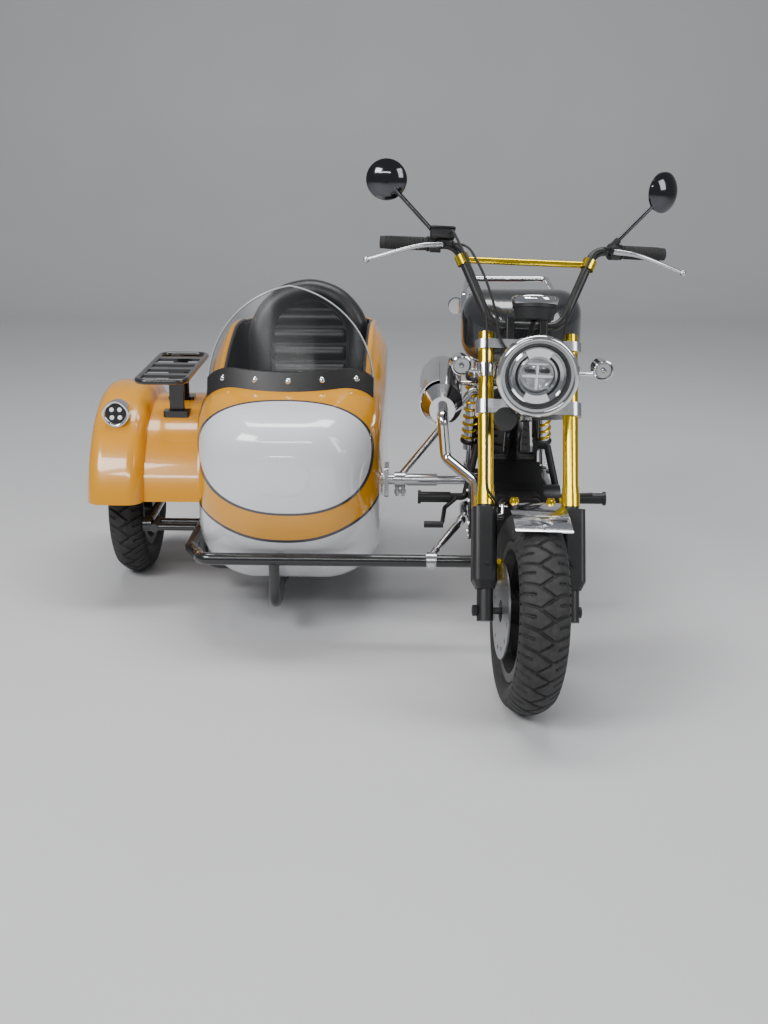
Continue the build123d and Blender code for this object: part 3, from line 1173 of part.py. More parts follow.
def cable(points, radius):
    """Add a cord along points, each bend as wide as the shorter run beside it allows."""
    bends = []
    for before, corner, after in zip(points, points[1:], points[2:]):
        half_turn = radians((corner - before).get_angle(after - corner)) / 2
        shorter = min((corner - before).length, (after - corner).length)
        bends.append(0.45 * shorter * cos(half_turn) / sin(half_turn))
    with BuildLine() as route:
        FilletPolyline(*points, radius=bends)
    with BuildSketch(Plane(origin=route.line @ 0, z_dir=route.line % 0)) as end_face:
        Circle(radius)
    sweep(end_face.sketch, path=route.line)


with BuildPart() as control_cables:
    cable([fork(-188, 45 + FIT, 874), fork(-188, 72, 874), fork(-150, 86, 790), fork(-104, 66, 690),
           fork(-104, 66, 262), fork(-71.5, 44, 232), fork(-71.5, -14, 226), fork(-78, -30, 180),
           fork(-78, -30, 110 + FIT)], CABLE_R)
    for side in (-1, 1):
        cable([bar_point(CABLE_EXIT, side), fork(side * 150, 73, 836), fork(side * 116, 84, 770), fork(side * 86, 74, 690),
               fork(side * 74, 66, 606), bike(side * 20, 210.6, 774)], CABLE_R)
control_cables.part = parked(control_cables.part)

# Exports

front_tyre.part.label = "front_tyre"
export_step(front_tyre.part, "parts/front_tyre.step")

front_rim.part.label = "front_rim"
export_step(front_rim.part, "parts/front_rim.step")

front_disc.part.label = "front_disc"
export_step(front_disc.part, "parts/front_disc.step")

rear_tyre.part.label = "rear_tyre"
export_step(rear_tyre.part, "parts/rear_tyre.step")

rear_rim.part.label = "rear_rim"
export_step(rear_rim.part, "parts/rear_rim.step")

rear_sprocket.part.label = "rear_sprocket"
export_step(rear_sprocket.part, "parts/rear_sprocket.step")

side_tyre.part.label = "side_tyre"
export_step(side_tyre.part, "parts/side_tyre.step")

side_rim.part.label = "side_rim"
export_step(side_rim.part, "parts/side_rim.step")

fork_tubes.part.label = "fork_tubes"
export_step(fork_tubes.part, "parts/fork_tubes.step")

fork_lowers.part.label = "fork_lowers"
export_step(fork_lowers.part, "parts/fork_lowers.step")

fork_yokes.part.label = "fork_yokes"
export_step(fork_yokes.part, "parts/fork_yokes.step")

handlebar.part.label = "handlebar"
export_step(handlebar.part, "parts/handlebar.step")

crossbar.part.label = "crossbar"
export_step(crossbar.part, "parts/crossbar.step")

grips.part.label = "grips"
export_step(grips.part, "parts/grips.step")

lever_sets.part.label = "lever_sets"
export_step(lever_sets.part, "parts/lever_sets.step")

mirrors.part.label = "mirrors"
export_step(mirrors.part, "parts/mirrors.step")

headlight.part.label = "headlight"
export_step(headlight.part, "parts/headlight.step")

headlight_lens.part.label = "headlight_lens"
export_step(headlight_lens.part, "parts/headlight_lens.step")

meter.part.label = "meter"
export_step(meter.part, "parts/meter.step")

front_signals.part.label = "front_signals"
export_step(front_signals.part, "parts/front_signals.step")

horn.part.label = "horn"
export_step(horn.part, "parts/horn.step")

front_fender.part.label = "front_fender"
export_step(front_fender.part, "parts/front_fender.step")

brake_caliper.part.label = "brake_caliper"
export_step(brake_caliper.part, "parts/brake_caliper.step")

bike_frame.part.label = "bike_frame"
export_step(bike_frame.part, "parts/bike_frame.step")

engine.part.label = "engine"
export_step(engine.part, "parts/engine.step")

cylinder.part.label = "cylinder"
export_step(cylinder.part, "parts/cylinder.step")

cylinder_head.part.label = "cylinder_head"
export_step(cylinder_head.part, "parts/cylinder_head.step")

exhaust_pipe.part.label = "exhaust_pipe"
export_step(exhaust_pipe.part, "parts/exhaust_pipe.step")

muffler.part.label = "muffler"
export_step(muffler.part, "parts/muffler.step")

heat_shield.part.label = "heat_shield"
export_step(heat_shield.part, "parts/heat_shield.step")

fuel_tank.part.label = "fuel_tank"
export_step(fuel_tank.part, "parts/fuel_tank.step")

seat.part.label = "seat"
export_step(seat.part, "parts/seat.step")

side_panels.part.label = "side_panels"
export_step(side_panels.part, "parts/side_panels.step")

rear_fender.part.label = "rear_fender"
export_step(rear_fender.part, "parts/rear_fender.step")

tail_lamp.part.label = "tail_lamp"
export_step(tail_lamp.part, "parts/tail_lamp.step")

rear_signals.part.label = "rear_signals"
export_step(rear_signals.part, "parts/rear_signals.step")

grab_rail.part.label = "grab_rail"
export_step(grab_rail.part, "parts/grab_rail.step")

swingarm.part.label = "swingarm"
export_step(swingarm.part, "parts/swingarm.step")

rear_shocks.part.label = "rear_shocks"
export_step(rear_shocks.part, "parts/rear_shocks.step")

chain.part.label = "chain"
export_step(chain.part, "parts/chain.step")

foot_controls.part.label = "foot_controls"
export_step(foot_controls.part, "parts/foot_controls.step")

side_stand.part.label = "side_stand"
export_step(side_stand.part, "parts/side_stand.step")

sidecar_body.part.label = "sidecar_body"
export_step(sidecar_body.part, "parts/sidecar_body.step")

sidecar_belly.part.label = "sidecar_belly"
export_step(sidecar_belly.part, "parts/sidecar_belly.step")

seat_base.part.label = "seat_base"
export_step(seat_base.part, "parts/seat_base.step")

sidecar_cushion.part.label = "sidecar_cushion"
export_step(sidecar_cushion.part, "parts/sidecar_cushion.step")

sidecar_backrest.part.label = "sidecar_backrest"
export_step(sidecar_backrest.part, "parts/sidecar_backrest.step")

windscreen.part.label = "windscreen"
export_step(windscreen.part, "parts/windscreen.step")

windscreen_strip.part.label = "windscreen_strip"
export_step(windscreen_strip.part, "parts/windscreen_strip.step")

mudguard.part.label = "mudguard"
export_step(mudguard.part, "parts/mudguard.step")

sidecar_lamps.part.label = "sidecar_lamps"
export_step(sidecar_lamps.part, "parts/sidecar_lamps.step")

luggage_rack.part.label = "luggage_rack"
export_step(luggage_rack.part, "parts/luggage_rack.step")

sidecar_chassis.part.label = "sidecar_chassis"
export_step(sidecar_chassis.part, "parts/sidecar_chassis.step")

sidecar_arm.part.label = "sidecar_arm"
export_step(sidecar_arm.part, "parts/sidecar_arm.step")

link_struts.part.label = "link_struts"
export_step(link_struts.part, "parts/link_struts.step")

control_cables.part.label = "control_cables"
export_step(control_cables.part, "parts/control_cables.step")
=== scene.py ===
# %% [markdown]
# # A sidecar motorcycle, dressed
# The solids of the outfit come from the CAD model and stay where they are. This lesson gives each of them a
# finish, and makes the pieces that a solid can't be: treaded tyres, stuffed cushions, lamps with something
# inside, springs and bolts. A tidy way to work is from the camera outwards: the view first, then the big
# surfaces, then the small ones.

# %% Load the frame
import math

import bmesh
import bpy
import numpy as np
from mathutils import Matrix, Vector


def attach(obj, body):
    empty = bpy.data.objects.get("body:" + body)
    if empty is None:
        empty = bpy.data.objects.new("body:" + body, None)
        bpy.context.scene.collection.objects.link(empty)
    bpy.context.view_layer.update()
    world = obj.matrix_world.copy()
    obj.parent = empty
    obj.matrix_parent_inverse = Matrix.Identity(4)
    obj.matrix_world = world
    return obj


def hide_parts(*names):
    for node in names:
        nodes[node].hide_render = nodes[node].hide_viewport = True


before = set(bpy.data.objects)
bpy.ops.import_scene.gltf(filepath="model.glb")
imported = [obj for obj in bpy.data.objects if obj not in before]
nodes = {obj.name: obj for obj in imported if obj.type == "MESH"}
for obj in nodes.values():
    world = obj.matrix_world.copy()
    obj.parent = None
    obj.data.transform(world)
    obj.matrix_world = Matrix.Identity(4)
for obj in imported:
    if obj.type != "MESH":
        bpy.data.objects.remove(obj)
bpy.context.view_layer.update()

# %% [markdown]
# The photograph was taken standing, about three metres ahead of the front wheel, with the lens looking down
# by seventeen degrees. A camera takes its place from a location and three turns. The lens length follows
# from how large the wheelbase looks, so it is set as a number and never fitted by eye again.

# %% Camera
def set_camera(place, down, turned, lens):
    """A camera at a place, looking along +Y, tipped down and turned to the left by angles in degrees."""
    data = bpy.data.cameras.new("photo_camera")
    data.lens = lens
    data.sensor_width = 36.0
    data.clip_end = 60.0
    camera = bpy.data.objects.new("photo_camera", data)
    bpy.context.scene.collection.objects.link(camera)
    camera.location = place
    camera.rotation_euler = (math.radians(90.0 - down), 0.0, math.radians(turned))
    bpy.context.scene.camera = camera
    return camera


camera = set_camera((0.171, -3.669, 1.400), 16.9, 2.0, 49.92)
print("camera", tuple(round(v, 3) for v in camera.location))

# %% [markdown]
# Where things are. The bike's centre plane, the axles and the steering axis are plain numbers of the real
# machine. The bars are parked a little to the left, so everything that steers is worked out straight ahead
# and then turned about the steering axis. The rotation formula in parked turns a whole array at once.

# %% Places
BIKE_X = 0.391
CAR_X = -0.203
AXLE_Y = -0.607
FRONT_R, FRONT_W = 0.236, 0.110
REAR_R, REAR_W = 0.256, 0.130
SIDE_R, SIDE_W = 0.215, 0.098
BIKE_RIM_R, SIDE_RIM_R = 0.152, 0.127
CASTER = math.radians(25.0)
UP_FORK = np.array([0.0, math.sin(CASTER), math.cos(CASTER)])
AHEAD = np.array([0.0, -math.cos(CASTER), math.sin(CASTER)])
TRAIL = 0.0764
FORK_AHEAD = FRONT_R * math.sin(CASTER) - TRAIL * math.cos(CASTER)
FORK_FOOT = np.array([BIKE_X, AXLE_Y + 0.02764, 0.23511])
AXLE_DROP = 0.01324
FRONT_AXLE = FORK_FOOT + AHEAD * FORK_AHEAD - UP_FORK * AXLE_DROP
REAR_AXLE = np.array([BIKE_X, AXLE_Y + 1.145, REAR_R])
SIDE_AXLE = np.array([-0.699, AXLE_Y + 0.958, SIDE_R])
STEER_REST = math.radians(7.0)


def bike(x, y, z):
    """A point by its distance left of the bike's middle, behind the front axle and above the floor."""
    return np.array([BIKE_X + x, AXLE_Y + y, z])


def spot(x, y, z):
    """A point by its own X, its distance behind the front axle and its height."""
    return np.array([x, AXLE_Y + y, z])


def car(x, y, z):
    """A point by its distance left of the sidecar's middle, behind the front axle and above the floor."""
    return np.array([CAR_X + x, AXLE_Y + y, z])


def fork(x, ahead, up):
    """A point left of the fork's middle, ahead of the steering axis and up along it."""
    return FORK_FOOT + np.array([x, 0.0, 0.0]) + AHEAD * ahead + UP_FORK * up


def parked(points):
    """Points turned by the parked angle: p cos + (k x p) sin + k (k.p)(1 - cos), from the fork's foot."""
    p = np.asarray(points, float) - FORK_FOOT
    c, s = math.cos(STEER_REST), math.sin(STEER_REST)
    return FORK_FOOT + p * c + np.cross(UP_FORK, p) * s + (p @ UP_FORK)[..., None] * UP_FORK * (1 - c)


print("front axle parked at", parked(FRONT_AXLE).round(4))

# %% [markdown]
# A finish is a small network of shader nodes. Wiring nodes by hand hides the sums that they do, so one class
# stands for a node's output and lets Python's own + - * / write the Math nodes. Every other node comes from
# one method. Only what changes over a surface goes through links, and plain numbers are set on the shader.

# %% Finish writer
class Wire:
    """The output of a shader node, on which Python's arithmetic adds Math nodes."""

    def __init__(self, finish, socket):
        self.finish, self.socket = finish, socket

    def maths(self, operation, *values, clamp=False):
        return self.finish.node("ShaderNodeMath", {"operation": operation, "use_clamp": clamp}, values)

    def __add__(self, other): return self.maths("ADD", self, other)
    def __radd__(self, other): return self.maths("ADD", other, self)
    def __sub__(self, other): return self.maths("SUBTRACT", self, other)
    def __rsub__(self, other): return self.maths("SUBTRACT", other, self)
    def __mul__(self, other): return self.maths("MULTIPLY", self, other)
    def __rmul__(self, other): return self.maths("MULTIPLY", other, self)
    def __truediv__(self, other): return self.maths("DIVIDE", self, other)
    def __rtruediv__(self, other): return self.maths("DIVIDE", other, self)
    def __pow__(self, other): return self.maths("POWER", self, other)
    def __lt__(self, other): return self.maths("LESS_THAN", self, other)
    def __abs__(self): return self.maths("ABSOLUTE", self)
    def held(self): return self.maths("ADD", self, 0.0, clamp=True)


class Finish:
    """One material being written."""

    def __init__(self, name, **constants):
        self.material = bpy.data.materials.new(name)
        self.material.use_nodes = True
        self.tree = self.material.node_tree
        self.shader = self.tree.nodes["Principled BSDF"]
        for socket, value in constants.items():
            self.shader.inputs[socket.replace("_", " ")].default_value = value

    def node(self, kind, settings=None, values=(), out=0):
        """A node of a kind, its settings first, then the values or links of its sockets, as its output."""
        made = self.tree.nodes.new(kind)
        for key, setting in (settings or {}).items():
            setattr(made, key, setting)
        pairs = values.items() if isinstance(values, dict) else enumerate(values)
        for key, value in pairs:
            if isinstance(value, Wire):
                self.tree.links.new(value.socket, made.inputs[key])
            elif value is not None:
                made.inputs[key].default_value = value
        return Wire(self, made.outputs[out])

    def place(self):
        """The point on the object, in metres."""
        return self.node("ShaderNodeTexCoord", out="Object")

    def split(self, at):
        """The x, y and z of a point or direction."""
        return [self.node("ShaderNodeSeparateXYZ", None, [at], out) for out in range(3)]

    def cloud(self, at, scale, detail=3.0, rough=0.55):
        """Smooth noise from 0 to 1, its grains 1 / scale metres apart."""
        sockets = {"Vector": at, "Scale": scale, "Detail": detail, "Roughness": rough}
        return self.node("ShaderNodeTexNoise", None, sockets, "Fac")

    def mix(self, share, first, second):
        """The first colour where the share is 0 and the second where it is 1."""
        return self.node("ShaderNodeMix", {"data_type": "RGBA"}, {0: share, 6: rgb(first), 7: rgb(second)}, 2)

    def step(self, value, low, high):
        """0 below low, 1 above high and a straight ramp between."""
        sockets = {"Value": value, "From Min": low, "From Max": high}
        return self.node("ShaderNodeMapRange", {"clamp": True}, sockets)

    def bump(self, height, distance, strength=1.0):
        """A normal tipped by a height map, distance metres deep."""
        sockets = {"Height": height, "Distance": distance, "Strength": strength}
        return self.node("ShaderNodeBump", None, sockets)

    def done(self, **links):
        """The material, with these wires on the shader's sockets."""
        for socket, wire in links.items():
            self.tree.links.new(wire.socket, self.shader.inputs[socket.replace("_", " ")])
        return self.material


def rgb(colour):
    """A colour with its alpha, or a wire as it is."""
    return colour if isinstance(colour, Wire) else (*colour, 1.0)


def shaded(colour, share):
    """A colour times a share."""
    return tuple(c * share for c in colour)


# %% [markdown]
# Metal finishes. Chrome shows its surroundings, so it needs faint smudges in its roughness or it looks like
# a hole in the picture. Anodised gold is metal with a warm colour and a soft sheen. A cast engine is duller
# and dark, with a grain from the mould. All come from one function, so that pieces can differ a little.

# %% Metal
def metal(name, colour, dull, grain=260.0, depth=0.00002, smudge=0.06, soil=0.12):
    """Bare or plated metal: smudged roughness, a fine grain and a little dirt in the colour."""
    f = Finish(name, Metallic=1.0)
    at = f.place()
    smudges = f.cloud(at, 22.0, 4.0)
    fine = f.cloud(at, grain, 2.0)
    dirt = f.step(f.cloud(at, 9.0, 5.0, 0.65), 0.52, 0.78) * soil
    tone = f.mix(dirt, colour, shaded(colour, 0.45))
    rough = (smudges - 0.5) * (2.0 * smudge) + dull + dirt * 0.3
    return f.done(Base_Color=tone, Roughness=rough.held(), Normal=f.bump(fine, depth))


CHROME = metal("chrome_plate", (0.82, 0.82, 0.83), 0.07, smudge=0.035, soil=0.05)
DARK_CHROME = metal("smoked_chrome", (0.10, 0.10, 0.11), 0.10, smudge=0.04, soil=0.05)
GOLD = metal("gold_anodised", (0.88, 0.62, 0.040), 0.21, 500.0, 0.00001, 0.03, 0.04)
SATIN_ALUMINIUM = metal("satin_aluminium", (0.66, 0.67, 0.68), 0.27, 400.0, 0.00003, 0.05, 0.08)
STEEL = metal("bare_steel", (0.50, 0.50, 0.50), 0.30, 300.0, 0.00004, 0.08, 0.20)
DARK_CAST = metal("dark_engine_cast", (0.045, 0.045, 0.047), 0.40, 260.0, 0.0002, 0.06, 0.10)
STRUT_STEEL = metal("zinc_plate", (0.58, 0.58, 0.60), 0.24, 300.0, 0.00004, 0.06, 0.12)


def brushed_disc():
    """A brake disc: rings of fine scratches round its axle, worked out from the distance to it."""
    f = Finish("ground_disc", Metallic=1.0)
    _, y, z = f.split(f.place())
    centre = parked(FRONT_AXLE).tolist()
    ring = ((y - centre[1]) ** 2.0 + (z - centre[2]) ** 2.0) ** 0.5
    sockets = {"W": ring * 1500.0, "Detail": 2.0}
    lines = f.node("ShaderNodeTexNoise", {"noise_dimensions": "1D"}, sockets, "Fac")
    tone = f.mix(lines * 0.5, (0.50, 0.50, 0.51), (0.32, 0.32, 0.33))
    return f.done(Base_Color=tone, Roughness=lines * 0.25 + 0.22, Normal=f.bump(lines, 0.00003))


DISC = brushed_disc()

# %% [markdown]
# Paint and plastic. Gloss paint is colour under a clear coat, with dust lying on faces that look up and a
# faint orange-peel ripple. Chassis black is the same with a duller coat. Moulded plastic has no coat and a
# fine pebble.

# %% Paint
def dust(f, at, amount):
    """How much dust lies on a point: more where the surface looks up, broken by noise."""
    up = f.split(f.node("ShaderNodeNewGeometry", out="Normal"))[2]
    return (f.step(up, 0.2, 1.0) * f.step(f.cloud(at, 14.0, 6.0, 0.7), 0.35, 0.75)) * amount


def paint(name, colour, dull=0.20, coat=0.8, dusty=0.10, peel=0.00006):
    """Gloss paint of one colour."""
    f = Finish(name, Coat_Roughness=0.05)
    at = f.place()
    laid = dust(f, at, dusty)
    wear = f.cloud(at, 6.0)
    tone = f.mix(wear * 0.18, colour, shaded(colour, 0.80))
    tone = f.mix(laid, tone, (0.42, 0.40, 0.37))
    return f.done(Base_Color=tone, Roughness=laid * 1.5 + (wear * 0.06 + dull),
                  Coat_Weight=(coat - laid * 1.2).held(), Normal=f.bump(f.cloud(at, 380.0, 2.0), peel))


def moulded(name, colour, dull=0.55, grain=900.0, depth=0.00012, dusty=0.12):
    """Moulded plastic, rubber or rough-coated metal with a fine pebble."""
    f = Finish(name)
    at = f.place()
    wear = f.cloud(at, 30.0, 4.0)
    tone = f.mix(wear * 0.5, colour, shaded(colour, 0.6))
    tone = f.mix(dust(f, at, dusty), tone, (0.30, 0.29, 0.27))
    return f.done(Base_Color=tone, Roughness=(wear - 0.5) * 0.16 + dull,
                  Normal=f.bump(f.cloud(at, grain), depth))


ORANGE = (0.78, 0.335, 0.008)
WHITE = (0.76, 0.77, 0.80)
BLACK_GLOSS = paint("black_gloss", (0.010, 0.010, 0.011), 0.22, 0.7, 0.08)
BLACK_SATIN = moulded("black_satin", (0.014, 0.014, 0.015), 0.38, 500.0, 0.00005, 0.05)
BLACK_PLASTIC = moulded("black_plastic", (0.012, 0.012, 0.013), 0.50)
BLACK_RUBBER = moulded("black_rubber", (0.017, 0.017, 0.017), 0.66, 700.0, 0.0002)
TANK_PAINT = paint("tank_black", (0.020, 0.021, 0.024), 0.16, 1.0, 0.05)
MUDGUARD_PAINT = paint("mudguard_orange", ORANGE, 0.22, 0.85, 0.03)

# %% [markdown]
# The sidecar's body has three colours: an orange shell, a white oval over the nose and a white belly, with a
# dark line where they meet. Such a pattern could be three pieces, but the real one is masked and sprayed on
# one shell, so it is worked out from the point's own place. The oval is drawn as seen from ahead and a
# little above, and carried straight back through the nose.

# %% Two-tone body
OVAL_MIDDLE = (-0.200, 0.520)
OVAL_ACROSS = 0.222
OVAL_UP, OVAL_DOWN = 0.118, 0.178
OVAL_POWER = 2.3
OVAL_DEPTH = AXLE_Y + 0.400
OVAL_END = AXLE_Y + 0.640
SIGHT_ACROSS, SIGHT_DOWN = 0.109, 0.266     # how the line of sight drifts for each metre back
BELLY_LINE = 0.270                          # height of the belly's edge beside OVAL_DEPTH
BELLY_RISE = 0.04
BELLY_SWEEP = 0.092                         # how much more it climbs by the flanks
PIN_STRIPE = (0.055, 0.055, 0.06)


def two_tone():
    """Orange, white where |x/a|^p + |z/b|^p < 1 along the sight line, and white below a rising line."""
    f = Finish("two_tone_body", Coat_Roughness=0.03)
    at = f.place()
    x, y, z = f.split(at)
    back = y - OVAL_DEPTH
    across = abs((x + back * SIGHT_ACROSS) - OVAL_MIDDLE[0]) / OVAL_ACROSS
    height = (z + back * SIGHT_DOWN) - OVAL_MIDDLE[1]
    upward = abs(height) / ((height < 0.0) * (OVAL_DOWN - OVAL_UP) + OVAL_UP)
    away = (across ** OVAL_POWER + upward ** OVAL_POWER) ** (1 / OVAL_POWER)
    nose = y < OVAL_END
    oval = f.step(away, 1.004, 0.996) * nose
    rim_line = f.step(abs(away - 1.010), 0.022, 0.014) * nose
    sweep = (abs(x - CAR_X) / 0.24) ** 2.0 * BELLY_SWEEP
    under = z - (back * BELLY_RISE + sweep + BELLY_LINE)
    belly = f.step(under, 0.0008, -0.0008)
    belly_line = f.step(abs(under - 0.003), 0.0052, 0.0044)
    shade = f.cloud(at, 5.0)
    orange = f.mix(shade * 0.16, ORANGE, shaded(ORANGE, 0.82))
    white = f.mix(shade * 0.10, WHITE, shaded(WHITE, 0.88))
    tone = f.mix((oval + belly).held(), orange, white)
    tone = f.mix((rim_line + belly_line).held(), tone, PIN_STRIPE)
    # Patches low on the body, fading in below 0.26 m and full at 0.12 m: darker, rougher and with less coat.
    low_dark_patches = f.step(z, 0.26, 0.12) * f.step(f.cloud(at, 20.0, 6.0, 0.7), 0.4, 0.8) * 0.25
    tone = f.mix(low_dark_patches, tone, (0.16, 0.14, 0.12))
    return f.done(Base_Color=tone, Roughness=low_dark_patches + (shade * 0.05 + 0.14),
                  Coat_Weight=(0.95 - low_dark_patches).held(), Normal=f.bump(f.cloud(at, 300.0, 2.0), 0.00005))


BODY_PAINT = two_tone()

# %% [markdown]
# Clear plastic and glass. A windscreen is a thin skin: it hides little straight on and shines at a glance, so
# its Alpha follows a Fresnel curve. That is cheaper than true refraction and lets light through to the seat.
# Lamp glass is the same with more body.

# %% Clear pieces
def clear(name, colour, least, most, gloss=1.0, dull=0.03, scratch=0.02):
    """A thin clear skin whose cover grows from least, straight on, to most at a glance."""
    f = Finish(name, IOR=1.45, Coat_Weight=gloss, Coat_Roughness=0.02)
    at = f.place()
    glance = f.node("ShaderNodeLayerWeight", None, {"Blend": 0.35}, "Fresnel")
    scratches = f.step(f.cloud(at, 70.0, 8.0, 0.75), 0.55, 0.8)
    cover = glance * (most - least) + (scratches * scratch + least)
    f.material.surface_render_method = "BLENDED"
    tone = f.mix(scratches, colour, tuple(c * 1.3 + 0.05 for c in colour))
    return f.done(Base_Color=tone, Alpha=cover.held(), Roughness=scratches * 0.2 + dull)


SCREEN = clear("clear_screen", (0.055, 0.058, 0.065), 0.10, 0.70, 0.10, 0.14)
LAMP_GLASS = clear("lamp_glass", (0.16, 0.17, 0.18), 0.05, 0.45)
RED_LENS = moulded("red_lens", (0.42, 0.010, 0.008), 0.12, 260.0, 0.0004, 0.03)
AMBER_LENS = moulded("amber_lens", (0.62, 0.20, 0.01), 0.14, 260.0, 0.0004, 0.03)


def glowing(name, colour, strength):
    """A lit diffuser, a little uneven."""
    f = Finish(name, Emission_Strength=strength, Roughness=0.25)
    uneven = f.cloud(f.place(), 90.0)
    return f.done(Base_Color=f.mix(uneven, colour, shaded(colour, 0.85)),
                  Emission_Color=f.mix(uneven, colour, shaded(colour, 0.9)))


LIGHT_BAR = glowing("light_bar", (0.86, 0.88, 0.93), 0.35)


def vinyl():
    """Stitched vinyl: a cell grain like hide, a soft sheen, and paler where it is rubbed."""
    f = Finish("black_vinyl", Sheen_Weight=0.15, Sheen_Roughness=0.5)
    at = f.place()
    cells = f.node("ShaderNodeTexVoronoi", {"feature": "DISTANCE_TO_EDGE"}, {"Vector": at, "Scale": 520.0},
                   "Distance")
    rub = f.step(f.cloud(at, 11.0, 4.0), 0.45, 0.8)
    tone = f.mix(rub * 0.4, (0.012, 0.012, 0.013), (0.032, 0.031, 0.031))
    return f.done(Base_Color=tone, Roughness=rub * 0.12 + 0.30, Normal=f.bump(cells, 0.0006, 0.55))


VINYL = vinyl()
PIPING = moulded("vinyl_piping", (0.030, 0.030, 0.031), 0.32, 700.0, 0.0001, 0.05)
LINING = moulded("cockpit_lining", (0.016, 0.016, 0.017), 0.72, 420.0, 0.0006, 0.04)
# Pale grey: a painted highlight for the light that the windscreen's cut edge gathers.
SCREEN_EDGE_HIGHLIGHT = moulded("screen_edge_highlight", (0.52, 0.55, 0.58), 0.16, 300.0, 0.00002, 0.0)
REFLECTOR = metal("lamp_reflector", (0.78, 0.79, 0.80), 0.12, 60.0, 0.0004, 0.05, 0.02)


def tyre_rubber():
    """Tyre rubber: patches of grey dust all over, and a fine grain."""
    f = Finish("tyre_rubber")
    at = f.place()
    grit = f.cloud(at, 45.0, 6.0, 0.7)
    tone = f.mix(f.step(grit, 0.4, 0.75) * 0.7, (0.016, 0.016, 0.017), (0.060, 0.058, 0.055))
    return f.done(Base_Color=tone, Roughness=grit * 0.2 + 0.55, Normal=f.bump(f.cloud(at, 800.0), 0.0002))


TYRE = tyre_rubber()

# %% [markdown]
# Every CAD solid now gets its finish. A table says which, so a missing node shows up at once, and nothing is
# left in plain grey. Solids that a new piece replaces further down are in it too.

# %% Finishes on the solids
FINISHED_IN = (
    (TYRE, "front_tyre rear_tyre side_tyre"),
    (GOLD, "fork_tubes crossbar brake_caliper"),
    (DISC, "front_disc"),
    (STEEL, "rear_sprocket chain"),
    (STRUT_STEEL, "link_struts"),
    (SATIN_ALUMINIUM, "fork_yokes"),
    (DARK_CAST, "engine cylinder cylinder_head"),
    (DARK_CHROME, "mirrors"),
    (CHROME, "headlight front_signals front_fender exhaust_pipe muffler heat_shield rear_signals grab_rail"),
    (CHROME, "rear_shocks sidecar_lamps"),
    (BLACK_GLOSS, "bike_frame swingarm side_stand luggage_rack sidecar_chassis sidecar_arm"),
    (BLACK_SATIN, "front_rim rear_rim side_rim fork_lowers handlebar foot_controls windscreen_strip"),
    (BLACK_PLASTIC, "lever_sets meter horn rear_fender seat_base"),
    (BLACK_RUBBER, "grips control_cables"),
    (TANK_PAINT, "fuel_tank side_panels"),
    (BODY_PAINT, "sidecar_body sidecar_belly"),
    (MUDGUARD_PAINT, "mudguard"),
    (VINYL, "seat sidecar_cushion sidecar_backrest"),
    (SCREEN, "windscreen"),
    (LAMP_GLASS, "headlight_lens"),
    (RED_LENS, "tail_lamp"),
)
for finish, names in FINISHED_IN:
    for name in names.split():
        nodes[name].data.materials.clear()
        nodes[name].data.materials.append(finish)
print("finished nodes", sum(len(names.split()) for finish, names in FINISHED_IN), "of", len(nodes))

# %% [markdown]
# A surface here is an array of points: row by row, column by column. Its faces are the cells of the grid. Two
# helpers cover nearly every piece: a profile turned about an axis, and a profile carried along a path. Each
# sits on the place of its parts. The last gathers patches into one object, merges the points of poles and
# seams, and points the faces outwards.

# %% Surface helpers
def patch(points, round_rows=False, round_columns=False):
    """The vertices and four-sided faces of an n by m grid, closed in either direction when asked."""
    points = np.asarray(points, float)
    n, m = points.shape[:2]
    index = np.arange(n * m).reshape(n, m)
    if round_rows:
        index = np.vstack([index, index[:1]])
    if round_columns:
        index = np.hstack([index, index[:, :1]])
    cells = np.stack([index[:-1, :-1], index[1:, :-1], index[1:, 1:], index[:-1, 1:]], -1)
    return points.reshape(-1, 3), cells.reshape(-1, 4)


def capped(rows):
    """Rings closed round and drawn together at both ends, each at its ring's middle."""
    ends = [np.broadcast_to(rows[k].mean(0), rows[k].shape)[None] for k in (0, -1)]
    return patch(np.concatenate([ends[0], rows, ends[1]]), round_columns=True)


def square_to(axis):
    """The unit axis, and two unit directions square to it and to each other."""
    axis = np.asarray(axis, float) / np.linalg.norm(axis)
    helper = np.array([0.0, 0.0, 1.0]) if abs(axis[2]) < 0.9 else np.array([0.0, 1.0, 0.0])
    side = np.cross(helper, axis)
    side /= np.linalg.norm(side)
    return axis, side, np.cross(axis, side)


def turned(profile, centre, axis, around=48):
    """A profile of (along, radius) rows turned about an axis: centre + along*a + radius*(cos*s + sin*t)."""
    axis, side, top = square_to(axis)
    profile = np.asarray(profile, float)
    angle = np.linspace(0.0, 2 * np.pi, around, endpoint=False)
    ring = np.cos(angle)[None, :, None] * side + np.sin(angle)[None, :, None] * top
    along, radius = profile[:, 0][:, None, None], profile[:, 1][:, None, None]
    return patch(np.asarray(centre, float) + along * axis + radius * ring, round_columns=True)


def carried(path, radius, sides=12):
    """A circle carried along a path, its frame turned as little as possible from point to point."""
    path = np.asarray(path, float)
    run = np.gradient(path, axis=0)
    run /= np.linalg.norm(run, axis=1)[:, None]
    side = np.zeros_like(run)
    side[0] = square_to(run[0])[1]
    for k in range(1, len(path)):
        side[k] = side[k - 1] - run[k] * (side[k - 1] @ run[k])
        side[k] /= np.linalg.norm(side[k])
    top = np.cross(run, side)
    angle = np.linspace(0.0, 2 * np.pi, sides, endpoint=False)
    radius = np.broadcast_to(np.asarray(radius, float), (len(path),))
    ring = np.cos(angle)[None, :, None] * side[:, None] + np.sin(angle)[None, :, None] * top[:, None]
    return capped(path[:, None] + radius[:, None, None] * ring)


